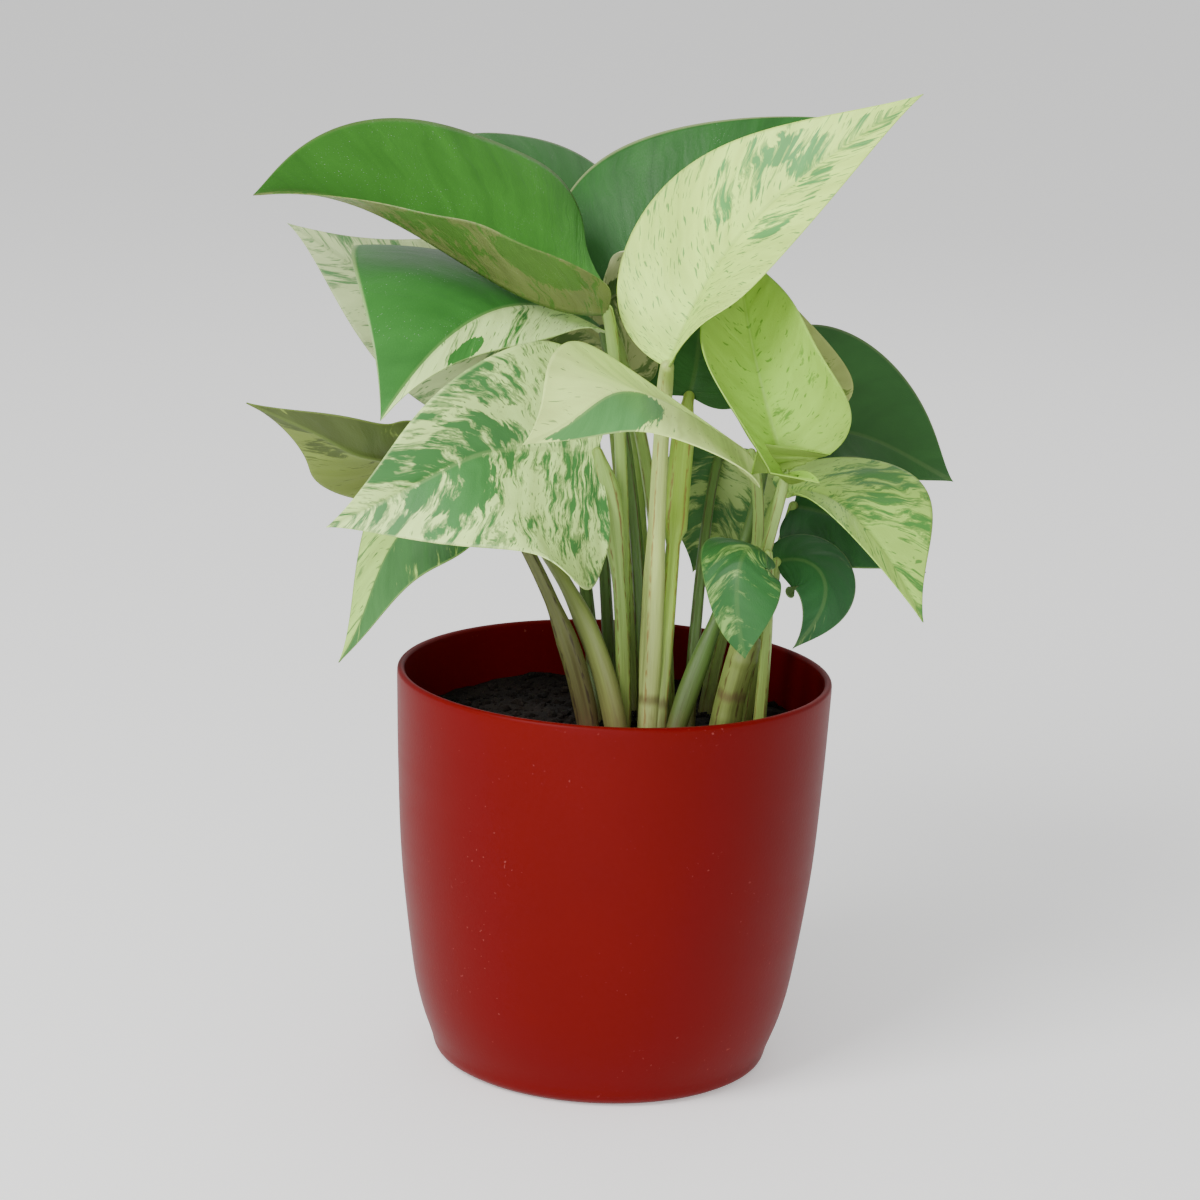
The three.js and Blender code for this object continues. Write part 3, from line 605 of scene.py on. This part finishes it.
def path_frames(points, count):
    """Points and tangents of a cubic curve at even steps of its length, with that length."""
    fine = np.linspace(0, 1, 2001)
    gone = distance_along(bezier(points, fine))
    at = np.linspace(0, gone[-1], count + 1)
    t = np.interp(at, gone, fine)
    step = 1e-4
    tangents = unit(bezier(points, np.clip(t + step, 0, 1)) - bezier(points, np.clip(t - step, 0, 1)))
    return bezier(points, t), tangents, gone[-1]


def sample(values, s):
    """Rows of values at s from 0 to 1, straight between the two nearest."""
    at = np.clip(s, 0, 1) * (len(values) - 1)
    low = np.minimum(at.astype(int), len(values) - 2)
    part = (at - low)[..., None]
    return values[low] * (1 - part) + values[low + 1] * part


def three(values, s):
    """The curve through three values set at 0, 0.5 and 1."""
    start, middle, end = values
    return start * (1 - s) * (1 - 2 * s) + 4 * middle * s * (1 - s) + end * s * (2 * s - 1)


def blade_grid(leaf, u, w):
    """Upper face of a blade. u runs from base to tip along the side veins' feet, w from -1 at the right
    margin to 1 at the left. A point starts on the midrib at a place that bends from u^VEIN_POWER at the
    vein's foot to u^MARGIN_POWER, less the lobe, at the margin. It then lies out by the half width times
    sin(pi u^REACH_SHIFT)^REACH_POWER |w|, lifted by the fold and the curl, with a wave. Returns the points,
    their distance out from the midrib and the midrib's length."""
    points, tangents, length = path_frames(leaf["midrib"], FRAME_STEPS)
    normals = carry(tangents, leaf["face"], FRAME_STEPS // 2)
    left = w >= 0
    v = np.abs(w)
    pick = lambda pair: np.where(left, pair[0], pair[1])
    lobe_shape = (u / LOBE_AT) * np.exp(1 - u / LOBE_AT)
    margin_at = u ** MARGIN_POWER - pick(leaf["lobe"]) * lobe_shape
    vein_at = u ** VEIN_POWER
    along = vein_at + (margin_at - vein_at) * v ** BEND_POWER
    inside = np.clip(along, 0, 1)
    reach = np.clip(np.sin(np.pi * u ** REACH_SHIFT), 0, 1) ** REACH_POWER * v
    normal = unit(sample(normals, inside))
    across = unit(np.cross(normal, sample(tangents, inside)))
    point = sample(points, inside) + tangents[0] * (np.minimum(along, 0) * length)[..., None]
    fold = pick([three(half, inside) for half in leaf["fold"]])
    lift = np.radians(fold + pick(leaf["curl"]) * reach)
    out = reach * pick([three(half, u) for half in leaf["width"]])
    height, count, phase = leaf["wave"]
    angle = 2 * np.pi * count * along + np.radians(phase) + pick([0, RIGHT_WAVE_SHIFT])
    wave = height * np.sin(angle) * reach ** 2
    point = point + across * (pick([1, -1]) * out * np.cos(lift))[..., None]
    point = point + normal * (out * np.sin(lift) + wave)[..., None]
    return point, out, length


def grid_normals(points):
    """Normals of a grid from its row and column steps, and at both end rows from the row beside them."""
    rows = np.gradient(points, axis=0)
    columns = np.gradient(points, axis=1)
    normals = unit(np.cross(columns, rows))
    normals[0] = unit(normals[1].sum(axis=0))
    normals[-1] = unit(normals[-2].sum(axis=0))
    return normals


def blade_sheets(leaf, number):
    """Both faces of a blade and its rim. The upper face sinks into a groove over the midrib and puckers and
    swells gently between the side veins. The lower face is the upper one moved in by the thickness, with a
    round rib. Groove and rib fade towards the tip, puckers and swells towards both ends and the midrib."""
    rows = (np.linspace(0, 1, BLADE_ROWS + 1) ** ROW_POWER)[:, None]
    columns = np.linspace(1, -1, 2 * HALF_COLUMNS + 1)[None, :]
    u, w = np.broadcast_arrays(rows, columns)
    points, out, length = blade_grid(leaf, u, w)
    v = np.abs(w)
    fade = np.sin(np.pi * np.clip(u, 0, 1)) ** 0.5
    pucker = PUCKER_HEIGHT * np.sin(2 * np.pi * PUCKERS * u + number) * v * (1 - v ** 4) * fade
    swell_angle = 2 * np.pi * (SWELLS_ALONG * u + SWELLS_ACROSS * w) + number * 1.7
    swell = SWELL_HEIGHT * np.sin(swell_angle) * v * (1.2 - v) * fade
    groove = -GROOVE_DEPTH * bump(out, 0, GROOVE_WIDTH) * (1 - u) ** 0.5 * (u > 0)
    normals = grid_normals(points)
    upper = points + normals * (pucker + swell + groove)[..., None]
    rib = RIB_DEPTH * bump(out, 0, RIB_WIDTH) * (1 - u) * (u > 0)
    thickness = MARGIN_THICKNESS + (BLADE_THICKNESS - MARGIN_THICKNESS) * (1 - v ** 8)
    lower = upper - normals * (thickness + rib)[..., None]
    leaf_map = np.stack([u, w], axis=-1)
    vein_map = np.stack([u * length / 10, np.sign(w) * out / 10], axis=-1)
    sheets = [dict(points=upper, leaf=leaf_map, veins=vein_map, under=0, smooth=True),
              dict(points=lower[:, ::-1], leaf=leaf_map[:, ::-1], veins=vein_map[:, ::-1], under=1,
                   smooth=True)]
    for column, first, second in ((0, lower, upper), (-1, upper, lower)):
        pair = lambda one, other: np.stack([one[:, column], other[:, column]], axis=1)
        sheets.append(dict(points=pair(first, second), leaf=pair(leaf_map, leaf_map),
                           veins=pair(vein_map, vein_map), under=0, smooth=False))
    return sheets


def tube_sheet(centres, tangents, radii, first, shape):
    """A round bar along a path. Each ring is the centre plus the radius times a turning direction, and shape
    scales it by ring and angle. Its end rings close on the axis."""
    sides = carry(tangents, first, len(tangents) - 1)
    others = np.cross(tangents, sides)
    angle = np.linspace(0, 2 * np.pi, STALK_SIDES + 1)
    spoke = sides[:, None] * np.cos(angle)[None, :, None] + others[:, None] * np.sin(angle)[None, :, None]
    points = centres[:, None] + spoke * (radii[:, None] * shape)[..., None]
    points[:, -1] = points[:, 0]
    gone = distance_along(centres) / 10
    turn = np.linspace(0, 1, STALK_SIDES + 1)
    place = np.stack(np.broadcast_arrays(gone[:, None], turn[None, :]), axis=-1)
    points = np.concatenate([np.broadcast_to(centres[:1, None], (1,) + points.shape[1:]), points,
                             np.broadcast_to(centres[-1:, None], (1,) + points.shape[1:])])
    place = np.concatenate([place[:1], place, place[-1:]])
    return dict(points=points, leaf=place, veins=place, under=0, smooth=True)


def rounded_end(points, tangents, radii, rings, height, radius):
    """A path with a round cap added: its rings follow a quarter turn that rises by height from a radius."""
    cap = np.sin(np.linspace(0, 0.5 * np.pi, rings + 1)[1:])
    points = np.concatenate([points, points[-1:] + tangents[-1:] * (cap * height)[:, None]])
    tangents = np.concatenate([tangents, np.repeat(tangents[-1:], rings, axis=0)])
    radii = np.concatenate([radii, radius * np.sqrt(np.maximum(1 - cap ** 2, 0.0004))])
    return points, tangents, radii


def ease(value):
    """0 below 0, 1 above 1, and 3x^2 - 2x^3 between."""
    value = np.clip(value, 0, 1)
    return value * value * (3 - 2 * value)


def stalk_sheets(leaf, sheath, lean):
    """A leaf stalk: a tapering bar with a channel between two low wings, a swollen knee near each end, and a
    rounded end just past the blade's base. A sheath widens it sideways along a stretch, and a lean moves its
    foot sideways, less and less with height."""
    x, y = leaf["root"]
    route = [[x, y, STALK_FOOT], [x, y, STALK_UPRIGHT], leaf["pull"], leaf["midrib"][0]]
    points, tangents, _ = path_frames(route, STALK_ROWS)
    low, high = leaf["radius"]
    t = np.linspace(0, 1, STALK_ROWS + 1)
    points = points + np.array([lean[0], lean[1], 0]) * ((1 - t) ** LEAN_POWER)[:, None]
    radii = (low + (high - low) * t) * (1 + sum(share * bump(t, at, KNEE_LENGTH) for at, share in KNEES))
    points, tangents, radii = rounded_end(points, tangents, radii, STALK_CAP_RINGS, high, high)
    t = np.concatenate([t, np.ones(STALK_CAP_RINGS)])
    angle = np.linspace(-np.pi, np.pi, STALK_SIDES + 1)[None, :]
    from_channel = np.abs(np.abs(angle) - np.pi)
    starts = np.clip((t - CHANNEL_FROM) / CHANNEL_FADE, 0, 1)
    ends = np.clip((CHANNEL_TO - t) / CHANNEL_FADE, 0, 1)
    wings = WING_HEIGHT * bump(from_channel, WING_AT, WING_WIDTH)
    channel = CHANNEL_DEPTH * bump(from_channel, 0, CHANNEL_WIDTH)
    shape = 1 + (starts * ends)[:, None] * (wings - channel)
    start, end, wider, softness = sheath
    spread = wider * ease((t - start) / softness) * ease((end - t) / SHEATH_END) / np.maximum(radii, 0.5)
    shape = shape + spread[:, None] * (0.25 + 0.75 * np.sin(angle) ** 2)
    return [tube_sheet(points, tangents, radii, leaf["face"], shape)]


def round_grid(outline, segments):
    """Each outline point [radius, height] carried round the axis, ending where it starts."""
    outline = np.asarray(outline, float)
    angle = np.linspace(0, 2 * np.pi, segments + 1)
    x = outline[:, 0, None] * np.cos(angle)
    y = outline[:, 0, None] * np.sin(angle)
    z = np.broadcast_to(outline[:, 1, None], x.shape)
    points = np.stack([x, y, z], axis=-1)
    points[:, -1] = points[:, 0]
    return points


def plain_sheet(points):
    """A grid of points whose material needs no leaf maps."""
    flat = np.zeros(points.shape[:2] + (2,))
    return dict(points=points, leaf=flat, veins=flat, under=0, smooth=True)


def add_object(name, data):
    """A new object in the scene."""
    made = bpy.data.objects.new(name, data)
    bpy.context.scene.collection.objects.link(made)
    return made


def add_faces(name, points, faces, material):
    """A new object from points in metres and the faces between them."""
    mesh = bpy.data.meshes.new(name)
    mesh.from_pydata(points, [], faces)
    mesh.materials.append(material)
    return add_object(name, mesh)


def make_piece(name, sheets, material, nodes):
    """One mesh from grids of points. Neighbouring points make a quad, points that coincide become one, and
    corners that a pole or a seam has closed are left out."""
    points, quads, leaf, veins, under, smooth = [], [], [], [], [], []
    start = 0
    for sheet in sheets:
        rows, columns = sheet["points"].shape[:2]
        index = start + np.arange(rows * columns).reshape(rows, columns)
        corners = [index[:-1, :-1], index[:-1, 1:], index[1:, 1:], index[1:, :-1]]
        quads.append(np.stack(corners, axis=-1).reshape(-1, 4))
        points.append(sheet["points"].reshape(-1, 3))
        leaf.append(sheet["leaf"].reshape(-1, 2))
        veins.append(sheet["veins"].reshape(-1, 2))
        under.append(np.full(rows * columns, float(sheet["under"])))
        smooth.append(np.full((rows - 1) * (columns - 1), sheet["smooth"]))
        start += rows * columns
    points, quads, leaf, veins = (np.concatenate(part) for part in (points, quads, leaf, veins))
    under, smooth = np.concatenate(under), np.concatenate(smooth)
    whole, merged = np.unique(np.round(points, 4), axis=0, return_inverse=True)
    merged = merged.reshape(-1)[quads]
    keep = merged != np.roll(merged, -1, axis=1)
    full = keep.sum(axis=1) >= 3
    quads, merged, keep, smooth = quads[full], merged[full], keep[full], smooth[full]
    sides = keep.sum(axis=1)
    mesh = bpy.data.meshes.new(name)
    mesh.vertices.add(len(whole))
    mesh.vertices.foreach_set("co", (whole * MM).astype(np.float32).ravel())
    mesh.loops.add(int(sides.sum()))
    mesh.loops.foreach_set("vertex_index", merged[keep].astype(np.int32))
    mesh.polygons.add(len(sides))
    mesh.polygons.foreach_set("loop_start", (np.cumsum(sides) - sides).astype(np.int32))
    mesh.polygons.foreach_set("use_smooth", smooth.astype(bool))
    for map_name, values in (("leaf", leaf), ("veins", veins)):
        layer = mesh.uv_layers.new(name=map_name)
        layer.data.foreach_set("uv", values[quads][keep].astype(np.float32).ravel())
    attribute = mesh.attributes.new("under", "FLOAT", "CORNER")
    attribute.data.foreach_set("value", under[quads][keep].astype(np.float32))
    mesh.update(calc_edges=True)
    mesh.validate()
    mesh.materials.append(material)
    piece = add_object(name, mesh)
    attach(piece, "root")
    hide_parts(*nodes)
    return piece


def smooth_outline(outline, steps):
    """A smooth curve through the points of an outline: each stretch follows the cubic whose end slopes are
    set by its neighbours."""
    outline = np.asarray(outline, float)
    before = np.vstack([2 * outline[0] - outline[1], outline[:-1]])
    after = np.vstack([outline[1:], 2 * outline[-1] - outline[-2]])
    slope = (after - before) / 2
    s = np.linspace(0, 1, steps, endpoint=False)[None, :, None]
    a, b = outline[:-1, None], outline[1:, None]
    ma, mb = slope[:-1, None], slope[1:, None]
    curve = (a * (2 * s ** 3 - 3 * s ** 2 + 1) + ma * (s ** 3 - 2 * s ** 2 + s)
             + b * (3 * s ** 2 - 2 * s ** 3) + mb * (s ** 3 - s ** 2))
    return np.vstack([curve.reshape(-1, 2), outline[-1:]])


def pot_radius(z):
    """Outer radius of the pot at a height."""
    radii, heights = zip(*POT_SIDE)
    return np.interp(z, heights, radii)


def make_pot():
    """The pot's outline turned round its axis: underside with centre pad and foot ring, bowed side, round
    lip, inner wall and floor. The drain holes are cut out of it at the end."""
    smooth_side = smooth_outline([point for point in POT_SIDE if point[1] >= SIDE_BOTTOM], SIDE_STEPS)
    side_at = lambda heights: np.interp(heights, smooth_side[:, 1], smooth_side[:, 0])
    outside = np.linspace(SIDE_BOTTOM, SIDE_TOP, SIDE_RINGS)
    inside = np.linspace(INSIDE_TOP, INSIDE_BOTTOM, INSIDE_RINGS)
    corner = pot_radius(FLOOR_CORNER) - WALL
    lip_angle = np.linspace(0, np.pi, LIP_RINGS)
    lip_radii = RIM_RADIUS - WALL / 2 + WALL / 2 * np.cos(lip_angle)
    lip_heights = POT_HEIGHT - WALL / 2 + WALL / 2 * np.sin(lip_angle)
    pad = [[0, 0], [PAD_RADIUS - 0.3, 0], [PAD_RADIUS + 0.1, 0.15], [PAD_RADIUS + 0.7, RECESS - 0.15],
           [PAD_RADIUS + 1, RECESS]]
    ring = [[RING_INSIDE - 1, RECESS], [RING_INSIDE - 0.7, RECESS - 0.15], [RING_INSIDE - 0.1, 0.15],
            [RING_INSIDE + 0.3, 0]]
    outline = np.vstack([
        pad,
        ring,
        smooth_outline(POT_SIDE[:3], FOOT_STEPS)[:-1],
        np.stack([side_at(outside), outside], axis=-1),
        np.stack([lip_radii, lip_heights], axis=-1),
        np.stack([side_at(inside) - WALL, inside], axis=-1),
        [[corner, FLOOR_CORNER], [corner - 1.2, FLOOR_TOP + 1.2], [corner - 4, FLOOR_TOP], [0, FLOOR_TOP]],
    ])
    sheet = plain_sheet(round_grid(outline, POT_SEGMENTS)[:, ::-1])
    pot = make_piece("pot_shell", [sheet], pot_material(), ["pot"])
    drill_side = [[0, -1], [DRAIN_RADIUS, -1], [DRAIN_RADIUS, FLOOR_TOP + 1], [0, FLOOR_TOP + 1]]
    drill = round_grid(drill_side, DRILL_SEGMENTS)[:, ::-1]
    drills = []
    for i in range(DRAIN_HOLES):
        angle = 2 * math.pi * (i + 0.5) / DRAIN_HOLES
        place = [DRAIN_CIRCLE * math.cos(angle), DRAIN_CIRCLE * math.sin(angle), 0]
        drills.append(plain_sheet(drill + place))
    cutter = make_piece("drills", drills, pot.data.materials[0], [])
    cut = pot.modifiers.new("drain_holes", "BOOLEAN")
    cut.operation = "DIFFERENCE"
    cut.object = cutter
    cut.solver = "MANIFOLD"
    bpy.context.view_layer.update()
    drilled = bpy.data.meshes.new_from_object(pot.evaluated_get(bpy.context.evaluated_depsgraph_get()))
    pot.modifiers.clear()
    pot.data = drilled
    bpy.data.objects.remove(cutter)


def rumple(x, y):
    """Uneven ground, about 1 mm high: half the sum of waves of several lengths, each with a longer one
    across it."""
    ground = 0
    for i, (length, height) in enumerate(GROUND_WAVES):
        cosine, sine = math.cos(GROUND_TURN * i), math.sin(GROUND_TURN * i)
        ground = ground + height * np.sin(2 * np.pi * (x * cosine + y * sine) / length + i)
        ground = ground + height * np.sin(2 * np.pi * (y * cosine - x * sine) / (1.3 * length) + 2 * i)
    return 0.5 * ground


def make_soil():
    """The soil: a rumpled disc over a plain body that follows the pot's inner wall, and crumbs on it."""
    edge = pot_radius(SOIL_TOP) - WALL - SOIL_GAP
    top = round_grid([[radius, SOIL_TOP] for radius in np.linspace(0, edge, SOIL_RINGS)], SOIL_SEGMENTS)
    top[..., 2] += rumple(top[..., 0], top[..., 1])
    body = [[pot_radius(height) - WALL - SOIL_GAP, height] for height in SOIL_WALL_HEIGHTS]
    body = body + [[body[-1][0] - SOIL_CORNER, SOIL_BOTTOM], [0, SOIL_BOTTOM]]
    sheet = plain_sheet(np.concatenate([top, round_grid(body, SOIL_SEGMENTS)]))
    material = soil_material()
    make_piece("soil_filling", [sheet], material, ["soil"])
    make_crumbs(edge, material)


def make_crumbs(edge, material):
    """Crumbs strewn on the soil. A crumb is a lumpy ball: an icosahedron's points pushed in or out, turned,
    flattened and set on the ground."""
    random = np.random.default_rng(CRUMB_SEED)
    golden = (1 + 5 ** 0.5) / 2
    corners = np.array([[-1, golden, 0], [1, golden, 0], [-1, -golden, 0], [1, -golden, 0], [0, -1, golden],
                        [0, 1, golden], [0, -1, -golden], [0, 1, -golden], [golden, 0, -1], [golden, 0, 1],
                        [-golden, 0, -1], [-golden, 0, 1]]) / golden
    ball = np.array([[0, 11, 5], [0, 5, 1], [0, 1, 7], [0, 7, 10], [0, 10, 11], [1, 5, 9], [5, 11, 4],
                     [11, 10, 2], [10, 7, 6], [7, 1, 8], [3, 9, 4], [3, 4, 2], [3, 2, 6], [3, 6, 8],
                     [3, 8, 9], [4, 9, 5], [2, 4, 11], [6, 2, 10], [8, 6, 7], [9, 8, 1]])
    away = (edge - CRUMB_EDGE_GAP) * np.sqrt(random.random(CRUMBS))
    around = 2 * np.pi * random.random(CRUMBS)
    size = CRUMB_SMALLEST + CRUMB_RANGE * random.random(CRUMBS) ** 3
    x, y = away * np.cos(around), away * np.sin(around)
    lumpy = corners[None] * (0.7 + 0.6 * random.random((CRUMBS, len(corners), 1))) * [1, 1, CRUMB_FLATNESS]
    spin = 2 * np.pi * random.random(CRUMBS)[:, None]
    turned = np.stack([lumpy[..., 0] * np.cos(spin) - lumpy[..., 1] * np.sin(spin),
                       lumpy[..., 0] * np.sin(spin) + lumpy[..., 1] * np.cos(spin), lumpy[..., 2]], axis=-1)
    centre = np.stack([x, y, SOIL_TOP + rumple(x, y) + CRUMB_LIFT * size], axis=-1)
    points = (centre[:, None] + turned * size[:, None, None]).reshape(-1, 3)
    faces = (ball[None] + len(corners) * np.arange(CRUMBS)[:, None, None]).reshape(-1, 3)
    crumbs = add_faces("soil_crumbs", (points * MM).tolist(), faces.tolist(), material)
    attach(crumbs, "root")


def make_stem():
    """The short vine stem at the right: a ridged bar, a little swollen where leaves grew."""
    points, tangents, _ = path_frames(STEM_PATH, STALK_ROWS)
    t = np.linspace(0, 1, STALK_ROWS + 1)
    radii = STEM_RADIUS - STEM_TAPER * t
    for ring, swell in STEM_SWELLS:
        radii = radii + swell * bump(t, ring, STEM_SWELL_LENGTH)
    points, tangents, radii = rounded_end(points, tangents, radii, STEM_CAP_RINGS, STEM_CAP_HEIGHT,
                                          STEM_CAP_RADIUS)
    angle = np.linspace(0, 2 * np.pi, STALK_SIDES + 1)[None, :]
    ridges = STEM_RIDGE_HEIGHT * np.cos(STEM_RIDGES * angle + 0.8)
    shape = 1 + ridges * np.ones((len(radii), 1))
    sheet = tube_sheet(points, tangents, radii, [0, -1, 0], shape)
    material = stalk_material("vine_stem", "#6f7a3e", "#7f8f4a", "#4b3520", 3.2)
    make_piece("vine_stem_right", [sheet], material, ["stem_right"])


def make_leaves():
    """Every leaf as two pieces, its blade and its stalk, which together stand for its node."""
    green = stalk_material("stalk_green", "#7f8f48", "#87a552", "#6a4a2c")
    dark = stalk_material("stalk_dark", "#566630", "#4f6c31", "#4b3520")
    pale = stalk_material("stalk_pale", "#b0bb72", "#b6c872", "#93713f", 2.7)
    bright = stalk_material("stalk_bright", "#8f9c60", "#a0c24c", "#93713f", 2.6)
    olive = stalk_material("stalk_olive", "#7b7a46", "#7d8a4c", "#5b3a26")
    brown = stalk_material("stalk_brown", "#51462a", "#5f6434", "#32241a")
    stalks = {"leaf_14_low_left": brown, "leaf_13_far_left": olive, "leaf_04_top_right": pale,
              "leaf_19_inner_high": bright, "leaf_10_mid_left": dark, "leaf_18_inner_low": dark,
              "leaf_20_behind_right": dark, "leaf_11_behind_left": dark, "leaf_21_behind_upper_left": dark}
    for number, (name, leaf) in enumerate(LEAVES.items()):
        look = LOOKS[name]
        material = leaf_material(name + "_marbling", look, number)
        make_piece(name + "_blade", blade_sheets(leaf, number), material, [name])
        stalk = stalk_sheets(leaf, SHEATHS.get(name, (0, 1, 0, 1)), LEANS.get(name, (0, 0)))
        make_piece(name + "_stalk", stalk, stalks.get(name, green), [name])


def make_studio():
    """Pale floor, white surroundings and large soft lights: the main one high at the left front."""
    material, wire = new_material("studio_floor")
    finish_surface(wire, FLOOR_COLOUR, 0.8, constants={"Emission Strength": FLOOR_GLOW})
    floor = add_faces("studio_floor", FLOOR_CORNERS, [(0, 1, 2, 3)], material)
    world = bpy.data.worlds.new("studio")
    bpy.context.scene.world = world
    world.use_nodes = True
    background = world.node_tree.nodes["Background"].inputs
    background["Color"].default_value = (1, 1, 1, 1)
    background["Strength"].default_value = WORLD_STRENGTH
    for name, (place, size, power) in LIGHTS.items():
        light = bpy.data.lights.new(name, "AREA")
        light.size = size
        light.energy = power
        lamp = add_object(name, light)
        lamp.location = place
        lamp.rotation_euler = (Vector(LIGHTS_AIM) - Vector(place)).to_track_quat("-Z", "Y").to_euler()


def make_camera():
    """The camera at the photo's angle: pitched down at the plant and rolled a little."""
    pitch, roll = math.radians(CAMERA_PITCH), math.radians(CAMERA_ROLL)
    forward = Vector((0, math.cos(pitch), -math.sin(pitch)))
    right = Vector((1, 0, 0))
    up = Vector((0, math.sin(pitch), math.cos(pitch)))
    turned_right = right * math.cos(roll) + up * math.sin(roll)
    turned_up = up * math.cos(roll) - right * math.sin(roll)
    data = bpy.data.cameras.new("camera")
    data.lens = CAMERA_LENS
    data.sensor_width = CAMERA_SENSOR
    data.clip_start = 0.01
    camera = add_object("camera", data)
    matrix = Matrix((turned_right, turned_up, -forward)).transposed().to_4x4()
    matrix.translation = (Vector(AIM) - CAMERA_DISTANCE * forward) * MM
    camera.matrix_world = matrix
    bpy.context.scene.camera = camera


make_camera()
make_studio()
make_pot()
make_soil()
make_stem()
make_leaves()
